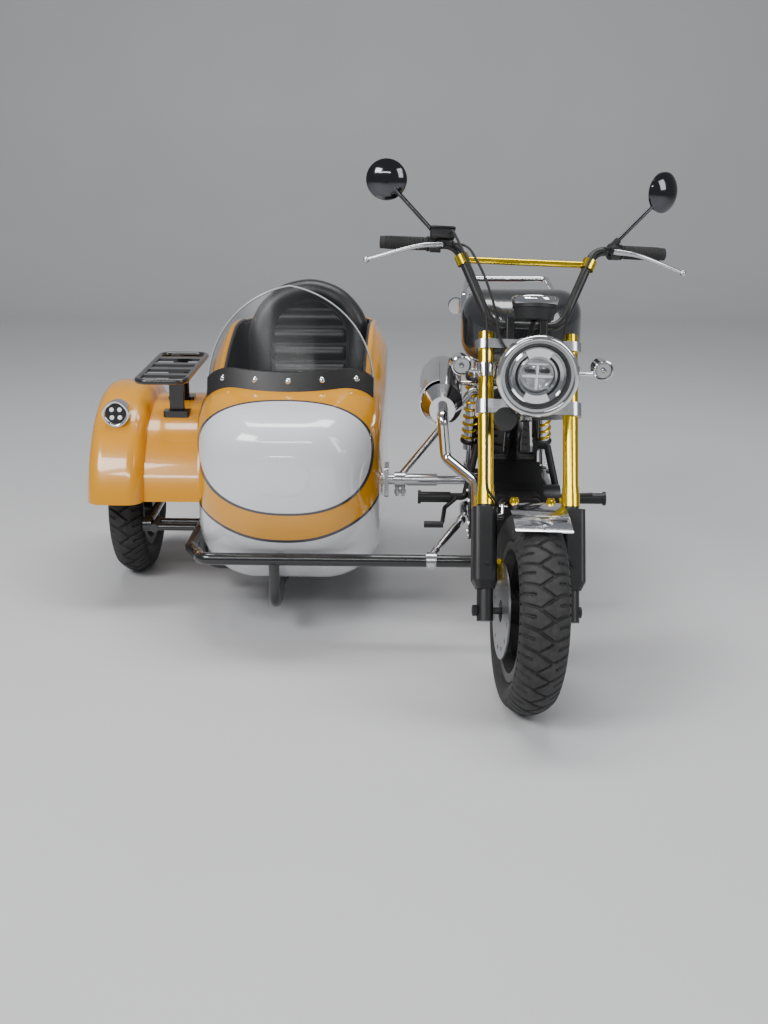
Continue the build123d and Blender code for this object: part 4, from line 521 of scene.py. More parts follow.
def block(centre, half, round_by, up=(0.0, 0.0, 1.0)):
    """A box along X with softened corners: a sphere's grid pushed out to |x|^p + |y|^p + |z|^p = 1."""
    along, up = np.array([1.0, 0.0, 0.0]), np.asarray(up, float)
    across = np.cross(up, along)
    power = 2.0 / round_by
    v = np.linspace(-np.pi / 2, np.pi / 2, 13)[:, None]
    u = np.linspace(0, 2 * np.pi, 24, endpoint=False)[None, :]
    ball = np.stack([np.cos(v) * np.cos(u), np.cos(v) * np.sin(u), np.sin(v) + 0 * u], -1)
    ball /= (np.abs(ball) ** power).sum(-1, keepdims=True) ** (1 / power)
    ball *= half
    points = centre + ball[..., :1] * along + ball[..., 1:2] * across + ball[..., 2:] * up
    return patch(points, round_columns=True)


def steered(parts):
    """Patches of the steering, turned to where the bars are parked."""
    return [(parked(points), faces) for points, faces in parts]


def piece(name, parts, finish, body, stands_for=(), angle=35.0):
    """One object made of patches, at the origin, with closed poles and faces that point outwards."""
    starts = np.cumsum([0] + [len(points) for points, _ in parts])
    points = np.concatenate([points for points, _ in parts])
    faces = np.concatenate([cells + start for (_, cells), start in zip(parts, starts)])
    mesh = bpy.data.meshes.new(name)
    mesh.from_pydata(points.tolist(), [], faces.tolist())
    work = bmesh.new()
    work.from_mesh(mesh)
    bmesh.ops.remove_doubles(work, verts=work.verts, dist=1e-6)
    bmesh.ops.recalc_face_normals(work, faces=work.faces)
    work.to_mesh(mesh)
    work.free()
    made = bpy.data.objects.new(name, mesh)
    bpy.context.scene.collection.objects.link(made)
    mesh.materials.append(finish)
    mesh.shade_smooth()
    mesh.set_sharp_from_angle(angle=math.radians(angle))
    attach(made, body)
    if stands_for:
        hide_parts(*stands_for)
    return made


# %% [markdown]
# Tyres. The tread is where a plain ring gives a model away. The ring's section is cut into a fine grid, and
# each point sinks by the depth of the groove it lies in. The grooves are straight lines in a flat map of the
# tread, repeated round the tyre, so a point's depth follows from its distance to the nearest line.

# %% Tread map
GROOVES = (
    # v across (-1 to 1) and u along one repeat, from and to
    ((-1.00, -0.10), (-0.45, 0.10)),
    ((-0.45, 0.10), (0.36, 0.66)),
    ((1.00, 0.40), (0.45, 0.60)),
    ((0.45, 0.60), (-0.36, 1.16)),
    ((-1.00, 0.42), (-0.58, 0.50)),
    ((1.00, 0.92), (0.58, 1.00)),
)
GROOVE_HALF_WIDTH, GROOVE_WALL, GROOVE_DEPTH = 0.0042, 0.0018, 0.0065


def groove_depth(across, along, half, pitch):
    """How deep each point of the flat tread map lies: distance to each line, then a smooth wall."""
    nearest = np.full(across.shape, 1.0)
    for shift in (-1, 0, 1):
        for (v0, u0), (v1, u1) in GROOVES:
            a = np.array([v0 * half, (u0 + shift) * pitch])
            run = np.array([v1 * half, (u1 + shift) * pitch]) - a
            px, py = across - a[0], along - a[1]
            share = np.clip((px * run[0] + py * run[1]) / (run @ run), 0, 1)
            nearest = np.minimum(nearest, np.hypot(px - share * run[0], py - share * run[1]))
    wall = np.clip((GROOVE_HALF_WIDTH - nearest) / GROOVE_WALL, 0, 1)
    return GROOVE_DEPTH * wall * wall * (3 - 2 * wall)


def tyre_patch(hub, radius, width, rim_r, repeats, around):
    """The tyre's closed ring: sidewall, shoulder, crown and back, with the grooves pressed into the crown."""
    shoulder_r, shoulder_x, bead = radius - 0.2 * width, 0.45 * width, 0.36 * width
    crown = np.linspace(-1, 1, 75)
    crown_r = radius - (radius - shoulder_r) * np.abs(crown) ** 2.2
    wall = np.linspace(0, 1, 16)[1:]
    wall_r = shoulder_r + (rim_r + 0.012 - shoulder_r) * wall
    bulge = np.sin(np.pi * wall) ** 0.8
    wall_x = shoulder_x + (bead - shoulder_x) * wall + (width / 2 - (shoulder_x + bead) / 2) * bulge
    wall_x += 0.0007 * (np.abs(wall - 0.30) < 0.04) + 0.0010 * (np.abs(wall - 0.86) < 0.05)
    x = np.concatenate([-wall_x[::-1], crown * shoulder_x, wall_x, [bead, -bead]])[:, None]
    r = np.concatenate([wall_r[::-1], crown_r, wall_r, [rim_r + 0.0002, rim_r + 0.0002]])[:, None]
    angle = np.linspace(0, 2 * np.pi, around, endpoint=False)[None]
    pitch = 2 * np.pi * radius / repeats
    strip = slice(len(wall) - 3, len(wall) + len(crown) + 3)
    across = np.clip(x[strip], -shoulder_x, shoulder_x) + 0 * angle
    r = r + 0 * angle
    r[strip] -= groove_depth(across, (angle * radius) % pitch + 0 * across, shoulder_x, pitch)
    return np.stack([hub[0] + x + 0 * r, hub[1] + r * np.cos(angle), hub[2] + r * np.sin(angle)], -1)


def treaded(wheel, hub, radius, width, rim_r, repeats, around):
    """The treaded tyre of a wheel, in place of its plain one. The front one is parked with the bars."""
    points = tyre_patch(hub, radius, width, rim_r, repeats, around)
    if wheel == "front":
        points = parked(points)
    return piece(wheel + "_tyre_treaded", [patch(points, True, True)], TYRE, wheel + "_wheel",
                 [wheel + "_tyre"], angle=50)


treads = (treaded("front", FRONT_AXLE, FRONT_R, FRONT_W, BIKE_RIM_R, 30, 720),
          treaded("rear", REAR_AXLE, REAR_R, REAR_W, BIKE_RIM_R, 32, 640),
          treaded("side", SIDE_AXLE, SIDE_R, SIDE_W, SIDE_RIM_R, 27, 540))
print("tyre faces", [len(tread.data.polygons) for tread in treads])

# %% [markdown]
# The sidecar's body is one moulded skin. The CAD model draws it through sixteen sections with few steps
# between them, which shows as facets in gloss paint. Here the same sections are joined by the same curve with
# far more rings. A section is a rectangle with two corner radii, so the height of the deck over any point
# follows from a formula, and the cockpit's edge can be laid exactly on it.

# %% Body sections
TUB = np.array([
    # y, half width, bottom, top, upper corner, lower corner, in millimetres
    (322, 72, 408, 512, 48, 48), (332, 122, 366, 546, 84, 84), (352, 164, 318, 574, 108, 112),
    (384, 196, 264, 592, 122, 134), (424, 218, 208, 606, 126, 148), (474, 233, 158, 618, 122, 154),
    (530, 241, 124, 632, 112, 152), (600, 245, 112, 644, 104, 148), (700, 246, 112, 660, 100, 146),
    (850, 246, 112, 714, 104, 146), (1000, 244, 112, 744, 108, 146), (1150, 233, 122, 741, 110, 142),
    (1260, 210, 152, 714, 108, 134), (1360, 166, 214, 652, 100, 120), (1430, 112, 300, 578, 80, 92),
    (1468, 56, 384, 506, 44, 46)], float) / 1000.0
TUB_WALL = 0.005


def eased_rows(rows, steps):
    """Rows between the given ones: cubics whose end slopes are the harmonic means of the runs beside them."""
    runs = np.diff(np.vstack([rows[:1], rows, rows[-1:]]), axis=0)
    product, total = runs[:-1] * runs[1:], runs[:-1] + runs[1:]
    slope = np.where(product > 0, 2 * product / np.where(total == 0, 1, total), 0)
    t = (np.arange(steps) / steps)[None, :, None]
    start, rise = rows[:-1, None], np.diff(rows, axis=0)[:, None]
    leave, arrive = slope[:-1, None], slope[1:, None]
    between = start + t * (leave + t * (3 * rise - 2 * leave - arrive + t * (leave + arrive - 2 * rise)))
    return np.vstack([between.reshape(-1, rows.shape[1]), rows[-1:]])


FINE_TUB = eased_rows(TUB, 12)


def section_ring(half, low, high, top_r, low_r, corner=15, flat=12):
    """Points round each section: quarter circles joined by straight runs, as rows by points by (x, z)."""
    quarter = np.linspace(0, np.pi / 2, corner)
    corners = []
    for k, (side, level, r) in enumerate(((1, 1, top_r), (-1, 1, top_r), (-1, -1, low_r), (1, -1, low_r))):
        angle = quarter + k * np.pi / 2
        height = high - r if level > 0 else low + r
        corners.append(np.stack([side * (half - r)[:, None] + r[:, None] * np.cos(angle),
                                 height[:, None] + r[:, None] * np.sin(angle)], -1))
    share = np.linspace(0, 1, flat + 2)[1:-1][None, :, None]
    ring = []
    for here, following in zip(corners, corners[1:] + corners[:1]):
        ring += [here, here[:, -1:] + share * (following[:, :1] - here[:, -1:])]
    return np.concatenate(ring, 1)


def tub_points(inset):
    """The body's skin drawn in by an inset, its flat ends rounded off: rows by points by (x, y, z)."""
    y, half, low, high, top_r, low_r = FINE_TUB.T
    ring = section_ring(half - inset, low + inset, high - inset, top_r - inset, low_r - inset)
    points = np.stack([CAR_X + ring[..., 0], AXLE_Y + y[:, None] + 0 * ring[..., 0], ring[..., 1]], -1)
    points[0, :, 1] += inset
    points[-1, :, 1] -= inset
    turn = np.linspace(np.pi / 2, 0, 8)[:-1]
    caps = []
    for end, ahead in ((0, -1), (-1, 1)):
        middle = points[end].mean(0)
        cap = middle + (points[end] - middle)[None] * np.cos(turn)[:, None, None]
        cap[..., 1] += ahead * 0.004 * np.sin(turn)[:, None]
        caps.append(cap)
    return np.concatenate([caps[0], points, caps[1][::-1]])


def deck_height(x, y):
    """The height of the body's top over a point: flat, then down the upper corner's circle."""
    half, high, top_r = (np.interp(y - AXLE_Y, FINE_TUB[:, 0], FINE_TUB[:, k]) for k in (1, 3, 4))
    past = np.clip(np.abs(x - CAR_X) - (half - top_r), 0, top_r * 0.999)
    return high - top_r + np.sqrt(top_r ** 2 - past ** 2)


print("body rings", len(FINE_TUB), "deck beside the driver", deck_height(CAR_X, AXLE_Y + 0.7).round(3))

# %% [markdown]
# The cockpit. The opening is a rectangle with round corners, seen from above. A point's signed distance to
# that outline says on which side it lies. Faces inside go, and the points that are left inside are pushed
# out to the line and dropped on the deck, so that the edge is a clean curve. A rolled orange lip covers the
# moulding's cut edge, as on the real body, and a dark lining stands one wall's thickness inside.

# %% Body shell
COCKPIT_MIDDLE = np.array([CAR_X, AXLE_Y + 0.920])
COCKPIT_HALF = np.array([0.196, 0.330])
COCKPIT_CORNER = 0.080
WAIST_Z = 0.50                      # only the skin above it is cut


def outline_distance(x, y):
    """Signed distance to the cockpit's outline and the unit direction away from it, for whole arrays."""
    px, py = x - COCKPIT_MIDDLE[0], y - COCKPIT_MIDDLE[1]
    qx, qy = np.abs(px) - (COCKPIT_HALF[0] - COCKPIT_CORNER), np.abs(py) - (COCKPIT_HALF[1] - COCKPIT_CORNER)
    in_corner = (qx > 0) & (qy > 0)
    gx = np.where(in_corner, qx, np.where(qx > qy, 1.0, 0.0))
    gy = np.where(in_corner, qy, np.where(qx > qy, 0.0, 1.0))
    size = np.maximum(np.hypot(gx, gy), 1e-9)
    distance = np.where(in_corner, np.hypot(qx, qy), np.maximum(qx, qy)) - COCKPIT_CORNER
    return distance, np.sign(px) * gx / size, np.sign(py) * gy / size


def opened(points, inset):
    """The skin with the cockpit cut out of its top, as the vertices and faces that are left."""
    vertices, faces = patch(points, round_columns=True)
    distance, gx, gy = outline_distance(vertices[:, 0], vertices[:, 1])
    gone = (distance < -1e-6) & (vertices[:, 2] > WAIST_Z)
    faces = faces[~gone[faces].all(1)]
    edge = gone & np.isin(np.arange(len(vertices)), faces)
    vertices[edge, 0] -= distance[edge] * gx[edge]
    vertices[edge, 1] -= distance[edge] * gy[edge]
    vertices[edge, 2] = deck_height(vertices[edge, 0], vertices[edge, 1]) - inset
    return vertices, faces


def rounded_loop(middle, half, corner, count=36):
    """A closed rectangle with round corners, as points by (x, y): quarter circles and straight runs."""
    quarter = np.linspace(0, np.pi / 2, 12)
    loop = []
    for k, (sx, sy) in enumerate(((1, 1), (-1, 1), (-1, -1), (1, -1))):
        angle = quarter + k * np.pi / 2
        loop.append(np.stack([sx * (half[0] - corner) + corner * np.cos(angle),
                              sy * (half[1] - corner) + corner * np.sin(angle)], -1))
    share = np.linspace(0, 1, count + 2)[1:-1][:, None]
    runs = []
    for here, following in zip(loop, loop[1:] + loop[:1]):
        runs += [here, here[-1] + share * (following[0] - here[-1])]
    return np.concatenate(runs) + middle


def closed_tube(path, radius, flatten=1.0, sides=14):
    """A circle, or an ellipse flattened upwards, carried round a closed path that lies mostly level."""
    run = np.roll(path, -1, 0) - np.roll(path, 1, 0)
    run /= np.linalg.norm(run, axis=1)[:, None]
    side = np.cross(run, (0.0, 0.0, 1.0))
    side /= np.linalg.norm(side, axis=1)[:, None]
    top = np.cross(side, run)
    angle = np.linspace(0, 2 * np.pi, sides, endpoint=False)
    points = (path[:, None] + radius * np.cos(angle)[None, :, None] * side[:, None]
              + radius * flatten * np.sin(angle)[None, :, None] * top[:, None])
    return patch(points, True, True)


def cockpit_line(out, lift):
    """The cockpit's outline set out by a distance, lying on the deck and lifted by another."""
    plan = rounded_loop(COCKPIT_MIDDLE, COCKPIT_HALF + out, COCKPIT_CORNER + out)
    return np.column_stack([plan, deck_height(plan[:, 0], plan[:, 1]) + lift])


shell = piece("sidecar_shell", [opened(tub_points(0.0), 0.0)], BODY_PAINT, "outfit",
              ["sidecar_body", "sidecar_belly"], angle=60)
lining = piece("sidecar_lining", [opened(tub_points(TUB_WALL), TUB_WALL)], LINING, "outfit")
piece("cockpit_lip", [closed_tube(cockpit_line(0.003, 0.001), 0.0085, 0.85)], MUDGUARD_PAINT, "outfit")
piece("cockpit_welt", [closed_tube(cockpit_line(-0.006, -0.004), 0.005)], PIPING, "outfit")
print("shell faces", len(shell.data.polygons), "lining", len(lining.data.polygons))

# %% [markdown]
# The backrest is a padded hoop round a panel of stuffed channels. The hoop is a thick tube along an arch, a
# little flattened. The panel is a sheet whose height over its board is a row of half-rounds, so each channel
# is full in the middle and drops to nothing at its seam. Its outline follows the arch by scaling each row.
# A board closes the back, and piping covers the seam between hoop and panel.

# %% Backrest
BACK_TILT = math.radians(10.0)
BACK_RIGHT = np.array([1.0, 0.0, 0.0])
BACK_UP = np.array([0.0, math.sin(BACK_TILT), math.cos(BACK_TILT)])
BACK_OUT = np.array([0.0, -math.cos(BACK_TILT), math.sin(BACK_TILT)])
BACK_THICK = 0.052
BACK_FOOT = car(0.0, 1.096, 0.2623 + BACK_THICK * math.sin(BACK_TILT))
HOOP_WIDE, HOOP_THICK = 0.034, 0.030        # half sizes of the hoop's ellipse
CHANNEL_START, CHANNEL_PITCH = 0.012, 0.052
PANEL = (0.112, 0.116, 0.392, 0.512)        # half width at the foot and waist, height of the waist and crown


def on_back(x, up, out):
    """Points by their place on the backrest's face: across, up along it and out of it."""
    x, up, out = np.broadcast_arrays(x, up, out)
    return BACK_FOOT + x[..., None] * BACK_RIGHT + up[..., None] * BACK_UP + out[..., None] * BACK_OUT


def arch_half(up, foot, waist, rise, crown):
    """Half the width of an arched outline at a height: a straight leg, then a circle through the crown."""
    r = (waist ** 2 + (crown - rise) ** 2) / (2 * (crown - rise))
    leg = foot + (waist - foot) * np.clip(up / rise, 0, 1)
    dome = np.sqrt(np.clip(r ** 2 - (up - (crown - r)) ** 2, 0, None))
    return np.where(up < rise, leg, dome)


def arch_line(foot, waist, rise, crown, count=40):
    """The arch as a path of (x, up): up the right leg, over the crown and down the left one."""
    r = (waist ** 2 + (crown - rise) ** 2) / (2 * (crown - rise))
    leg = np.column_stack([np.linspace(foot, waist, 12), np.linspace(0, rise, 12)])
    start = math.atan2(rise - (crown - r), waist)
    angle = np.linspace(start, np.pi - start, count)[1:-1]
    top = np.column_stack([r * np.cos(angle), crown - r + r * np.sin(angle)])
    return np.vstack([leg, top, (leg * (-1, 1))[::-1]])


def hoop():
    """The padded arch: an ellipse carried along the outline's middle, swelling a little between tacks."""
    line = arch_line(0.144, 0.149, 0.402, 0.536)
    run = np.gradient(line, axis=0)
    run /= np.linalg.norm(run, axis=1)[:, None]
    normal = np.column_stack([run[:, 1], -run[:, 0]])
    angle = np.linspace(0, 2 * np.pi, 24, endpoint=False)
    ripple = (1.0 + 0.012 * np.sin(np.arange(len(line)) * 0.9))[:, None]
    across = HOOP_WIDE * ripple * np.cos(angle)
    out = -0.020 + HOOP_THICK * ripple * np.sin(angle)
    return capped(on_back(line[:, :1] + across * normal[:, :1], line[:, 1:] + across * normal[:, 1:], out))


def channels():
    """The stuffed panel: out = sheet + |sin|^0.55 of the height for each channel, pleated along its seams."""
    up = np.linspace(CHANNEL_START, 0.508, 150)[:, None]
    share = np.linspace(-1, 1, 60)[None]
    x = share * arch_half(up, *PANEL)
    swell = np.abs(np.sin(np.pi * (up - CHANNEL_START) / CHANNEL_PITCH)) ** 0.55
    edge = np.clip((1 - np.abs(share)) * 9, 0, 1) ** 0.5
    pleats = 0.0012 * np.sin(x * 420 + 3 * up) * (1 - swell)
    return patch(on_back(x, up, -0.030 + 0.023 * swell * edge + pleats))


def back_board():
    """The board behind: the outline's own shape with a rounded edge, x = half sgn(cos) |cos|^0.35."""
    up = np.linspace(0.0, 0.570, 60)[:, None]
    v = np.linspace(0, 2 * np.pi, 40, endpoint=False)[None]
    half = np.maximum(arch_half(up, 0.158, 0.166, 0.410, 0.5705), 0.004)
    soft_cos, soft_sin = (np.sign(wave) * np.abs(wave) ** 0.35 for wave in (np.cos(v), np.sin(v)))
    return capped(on_back(half * soft_cos, up, -0.036 + 0.016 * soft_sin))


backrest = piece("backrest_padding", [hoop(), channels(), back_board()], VINYL, "outfit",
                 ["sidecar_backrest"], angle=70)
seam = arch_line(*PANEL)
piece("backrest_piping", [carried(on_back(seam[:, 0], seam[:, 1], -0.010), 0.003, 8)], PIPING, "outfit")
print("backrest faces", len(backrest.data.polygons))

# %% [markdown]
# Cushions are stuffed, so their shape comes from a cloth simulation: a copy of the solid, remeshed evenly,
# is blown up a little and stopped before it moves far. Then the sewn channels are pressed into the top,
# where a seam pulls the cover down.

# %% Cushions
VOXEL, PRESSURE, MOST_MOVE, SHRINK = 0.006, 4.0, 0.010, 0.004
SEAM_REACH = 0.006                          # how far from its stitches a seam draws the cover down


def read(mesh, what):
    """The places (co) or normals of a mesh's vertices as rows of three."""
    values = np.zeros(len(mesh.vertices) * 3)
    mesh.vertices.foreach_get(what, values)
    return values.reshape(-1, 3)


def stuffed(name, source):
    """A copy of a solid, remeshed and inflated as cloth, no point further than MOST_MOVE from its start."""
    made = source.copy()
    made.name, made.data, made.parent = name, source.data.copy(), None
    made.matrix_world = source.matrix_world.copy()
    made.hide_render = made.hide_viewport = False
    bpy.context.scene.collection.objects.link(made)
    bpy.context.view_layer.objects.active = made
    remesh = made.modifiers.new("remesh", "REMESH")
    remesh.mode, remesh.voxel_size = "VOXEL", VOXEL
    bpy.context.view_layer.update()
    flat = bpy.data.meshes.new_from_object(made.evaluated_get(bpy.context.evaluated_depsgraph_get()))
    made.modifiers.clear()
    made.data = flat
    start = read(flat, "co") - read(flat, "normal") * SHRINK
    flat.vertices.foreach_set("co", start.ravel())
    settings = made.modifiers.new("cloth", "CLOTH").settings
    settings.use_pressure = True
    settings.uniform_pressure_force = PRESSURE
    settings.effector_weights.gravity = 0.0
    settings.quality = 5
    for frame_number in range(1, 21):
        bpy.context.scene.frame_set(frame_number)
    move = read(made.evaluated_get(bpy.context.evaluated_depsgraph_get()).data, "co") - start
    size = np.linalg.norm(move, axis=1)[:, None]
    made.modifiers.clear()
    move *= np.minimum(1.0, MOST_MOVE / np.maximum(size, 1e-9))
    flat.vertices.foreach_set("co", (start + move).ravel())
    bpy.context.scene.frame_set(1)
    flat.update()
    return made


def cushion(source, first, pitch, count, depth):
    """A stuffed copy of a solid, with seams across Y: each presses the top in by a narrow bell curve."""
    made = stuffed(source + "_stuffed", nodes[source])
    points = read(made.data, "co")
    seams = AXLE_Y + first + pitch * np.arange(count)
    away = np.abs(points[:, 1:2] - seams[None]).min(1)
    upward = np.clip(read(made.data, "normal")[:, 2], 0, 1)
    points[:, 2] -= depth * np.exp(-(away / SEAM_REACH) ** 2) * upward
    made.data.vertices.foreach_set("co", points.ravel())
    made.data.materials.clear()
    made.data.materials.append(VINYL)
    made.data.shade_smooth()
    level = made.modifiers.new("smooth", "SUBSURF")
    level.levels = level.render_levels = 1
    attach(made, "outfit")
    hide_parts(source)
    return made


cushions = (cushion("sidecar_cushion", 0.874, 0.043, 5, 0.006),
            cushion("seat", 0.740, 0.046, 9, 0.004))
print("cushion faces", [len(made.data.polygons) for made in cushions])

# %% [markdown]
# The windscreen. Its sheet is bent round an upright roll that leans back, and cut to an arch. A cut edge of
# clear plastic gathers light and shows pale, so a thin pale bead on the edge paints that highlight. Five
# domed screws hold the black strip at the foot. Where they sit follows from the roll and from the height of
# the deck.

# %% Windscreen
SCREEN_LEAN = math.radians(20.0)
SCREEN_UP = np.array([0.0, math.sin(SCREEN_LEAN), math.cos(SCREEN_LEAN)])
SCREEN_BACK = np.array([0.0, math.cos(SCREEN_LEAN), -math.sin(SCREEN_LEAN)])
SCREEN_FOOT = car(0.0, 0.505, 0.560)
SCREEN_BOW = 0.420


def on_screen(x, z, proud):
    """Points of the bent sheet over a place across and at a height, set out of it by a distance."""
    bow = SCREEN_BOW + proud
    deep = SCREEN_BOW - np.sqrt(bow ** 2 - x ** 2)
    up = (z - SCREEN_FOOT[2] + deep * math.sin(SCREEN_LEAN)) / math.cos(SCREEN_LEAN)
    return SCREEN_FOOT + x[:, None] * (1, 0, 0) + deep[:, None] * SCREEN_BACK + up[:, None] * SCREEN_UP


def screen_edge_highlight():
    """A pale bead along the arched edge, a painted highlight: through the foot, the shoulder and the crown of
    each side.
    """
    ends, shoulder, crown = np.array([0.216, 0.040]), np.array([0.164, 0.232]), np.array([0.0, 0.330])
    a, b = shoulder - ends, crown - ends
    cross = 2 * (a[0] * b[1] - a[1] * b[0])
    middle = ends + np.array([b[1] * (a @ a) - a[1] * (b @ b), a[0] * (b @ b) - b[0] * (a @ a)]) / cross
    r = np.linalg.norm(ends - middle)
    angle = np.linspace(math.atan2(*(ends - middle)[::-1]), math.atan2(*(crown - middle)[::-1]), 40)
    x, z = middle[0] + r * np.cos(angle), middle[1] + r * np.sin(angle)
    x, z = np.concatenate([x, -x[-2::-1]]), np.concatenate([z, z[-2::-1]])
    return carried(on_screen(x, z + SCREEN_FOOT[2], -0.002), 0.0024, 8)


STRIP_REACH, STRIP_LIFT, STRIP_PROUD = 0.176, 0.024, 0.0063
SCREW = ((-0.001, 0.0), (-0.001, 0.0075), (0.0012, 0.0075), (0.0030, 0.0055), (0.0040, 0.0028), (0.0042, 0.0))


def strip_screws():
    """Five domed screws, each square to the bent sheet. A few rounds settle the height over the deck."""
    heads = []
    for x in np.linspace(-STRIP_REACH, STRIP_REACH, 5):
        z = SCREEN_FOOT[2] + 0.05
        for _ in range(12):
            place = on_screen(np.array([x]), np.array([z]), STRIP_PROUD)[0]
            z = deck_height(CAR_X + x, place[1]) + STRIP_LIFT
        up = (place - SCREEN_FOOT) @ SCREEN_UP
        roll_middle = SCREEN_FOOT + SCREEN_UP * up + SCREEN_BACK * SCREEN_BOW
        heads.append(turned(SCREW, place, place - roll_middle, 20))
    return heads


# The thin pale bead on the windscreen's edge is a painted highlight.
piece("screen_edge_highlight", [screen_edge_highlight()], SCREEN_EDGE_HIGHLIGHT, "outfit")
screws = piece("strip_screws", strip_screws(), CHROME, "outfit")
print("screw faces", len(screws.data.polygons))

# %% [markdown]
# Lamps. A lamp is a bright bowl behind a clear cover, and it looks empty unless something is inside. The
# headlight has a dark ring, two glowing arcs and a clear disc in the middle with a crossbar. All of it is
# turned from profiles about the lamp's own axis and then parked with the bars.

# %% Headlight
LAMP_CENTRE = bike(0.0, 0.108, 0.760)
FORWARDS = (0.0, -1.0, 0.0)


def ring_arc(centre, axis, radius, half_width, proud, start, end, count=40):
    """A flat bar bent to an arc of a circle about an axis, from one angle to another, in degrees."""
    axis, side, top = square_to(axis)
    angle = np.radians(np.linspace(start, end, count))
    along = np.cos(angle)[:, None] * side + np.sin(angle)[:, None] * top
    corner = np.array([(-1, 0), (-1, 1), (1, 1), (1, 0)], float)
    return capped(centre + along[:, None] * (radius + half_width * corner[None, :, :1])
                  + axis * (proud * corner[None, :, 1:]))


def lamp_ring(profile, around=96):
    """A profile of (along, radius) rows turned about the headlight's own axis."""
    return turned(profile, LAMP_CENTRE, FORWARDS, around)


def lamp_block(x, back, z, half, round_by):
    """A soft block inside the headlight, across, behind and above the lamp's middle."""
    return block(LAMP_CENTRE + np.array([x, back, z]), half, round_by)


RIM = ((-0.012, 0.088), (-0.012, 0.0935), (0.000, 0.0950), (0.006, 0.0925), (0.0085, 0.0880),
       (0.0075, 0.0838), (0.002, 0.0825), (-0.010, 0.0825))
BOWL = ((-0.020, 0.0), (-0.020, 0.050), (-0.016, 0.056), (-0.012, 0.070), (-0.004, 0.082))
GREY_RING = ((-0.014, 0.050), (-0.006, 0.052), (-0.004, 0.060), (-0.008, 0.066), (-0.014, 0.067))
MIDDLE_RING = ((-0.019, 0.040), (-0.004, 0.0405), (-0.003, 0.0445), (-0.006, 0.0465), (-0.019, 0.047))
ripple = np.linspace(0.0395, 0.0, 60)
rippled = np.column_stack([-0.017 + 0.0009 * np.cos(ripple * 1800), ripple])
arcs = [ring_arc(LAMP_CENTRE - np.array(FORWARDS) * 0.010, FORWARDS, 0.0545, 0.0088, 0.006, start, start + 60)
        for start in (60, 240)]
bars = [lamp_block(0.0, 0.013, z, half, 0.5) for z, half in (
    (-0.002, (0.036, 0.003, 0.0030)), (-0.017, (0.0028, 0.003, 0.016)),
    (0.012, (0.0022, 0.003, 0.012)), (0.026, (0.024, 0.003, 0.0016)))]
slots = [lamp_block(x, 0.012, 0.010, (0.012, 0.003, 0.0048), 0.6) for x in (-0.017, 0.017)]
HEADLIGHT = (
    # name, patches, finish, slot, sharp above
    ("rim", [lamp_ring(RIM)], CHROME, "chrome", 60),
    ("bowl", [lamp_ring(BOWL)], BLACK_PLASTIC, "black_plastic", 35),
    ("rings", [lamp_ring(GREY_RING), lamp_ring(MIDDLE_RING)], REFLECTOR, "chrome", 35),
    ("slots", slots, BLACK_GLOSS, "black_plastic", 35),
    ("middle", [lamp_ring(rippled, 72)], REFLECTOR, "chrome", 35),
    ("bars", arcs + bars, LIGHT_BAR, "lens_clear", 35),
)
for name, parts, finish, slot, angle in HEADLIGHT:
    piece("headlight_" + name, steered(parts), finish, "steering", angle=angle)
print("headlight pieces", [row[0] for row in HEADLIGHT])

# %% [markdown]
# The small lamps. Each signal is a chrome pod with a domed lens over a disc and a bulb, and the sidecar's
# lamp has a lobed chrome ring round four small lights. The lobes come from letting the ring's radius swell
# a few times on its way round.

# %% Small lamps
BACKWARDS = (0.0, 1.0, 0.0)
SIGNAL_R = 0.022
SIGNAL_DOME = ((0.000, SIGNAL_R - 0.002), (0.006, SIGNAL_R - 0.003), (0.011, SIGNAL_R * 0.62),
               (0.013, SIGNAL_R * 0.3), (0.0135, 0.0))
SIGNAL_RING = ((-0.004, SIGNAL_R + 0.0012), (0.004, SIGNAL_R + 0.0014), (0.0055, SIGNAL_R - 0.001),
               (0.003, SIGNAL_R - 0.003))
SIGNAL_DISC = ((0.0012, 0.0), (0.0012, SIGNAL_R - 0.004))
SIGNAL_BULB = ((0.0015, 0.006), (0.006, 0.006), (0.009, 0.003), (0.0095, 0.0))


def signals(centres, axis):
    """Domed lenses, and the ring, disc and bulb behind each, as two lists of patches."""
    domes = [turned(SIGNAL_DOME, centre, axis, 48) for centre in centres]
    behind = [turned(profile, centre, axis, around) for centre in centres
              for profile, around in ((SIGNAL_RING, 48), (SIGNAL_DISC, 48), (SIGNAL_BULB, 24))]
    return domes, behind


middles = [fork(x, 0.072, 0.552) + np.array([0.0, -0.0142, 0.0]) for x in (-0.166, 0.166)]
domes, behind = signals(middles, FORWARDS)
piece("signal_lenses", steered(domes), LAMP_GLASS, "steering")
piece("signal_rings", steered(behind), CHROME, "steering")

SIDE_LAMP = spot(-0.701, 0.735, 0.522)
LOBED = np.array([(-0.004, 0.034), (0.004, 0.0375), (0.009, 0.0365), (0.010, 0.0325), (0.006, 0.0285),
                  (0.001, 0.0275)])
DOT = ((0.002, 0.0062), (0.006, 0.0058), (0.0078, 0.003), (0.0082, 0.0))


def lobed_ring(centre, lobes=4):
    """A turned ring whose radius swells lobes times: r = r0 (1 + d cos(n a))."""
    angle = np.linspace(0, 2 * np.pi, 96, endpoint=False)
    radius = LOBED[:, 1][:, None] * (1 + 0.020 * np.cos(lobes * angle)[None])
    points = np.stack([centre[0] + radius * np.cos(angle), centre[1] - LOBED[:, 0][:, None] + 0 * radius,
                       centre[2] + radius * np.sin(angle)], -1)
    return patch(points, round_columns=True)


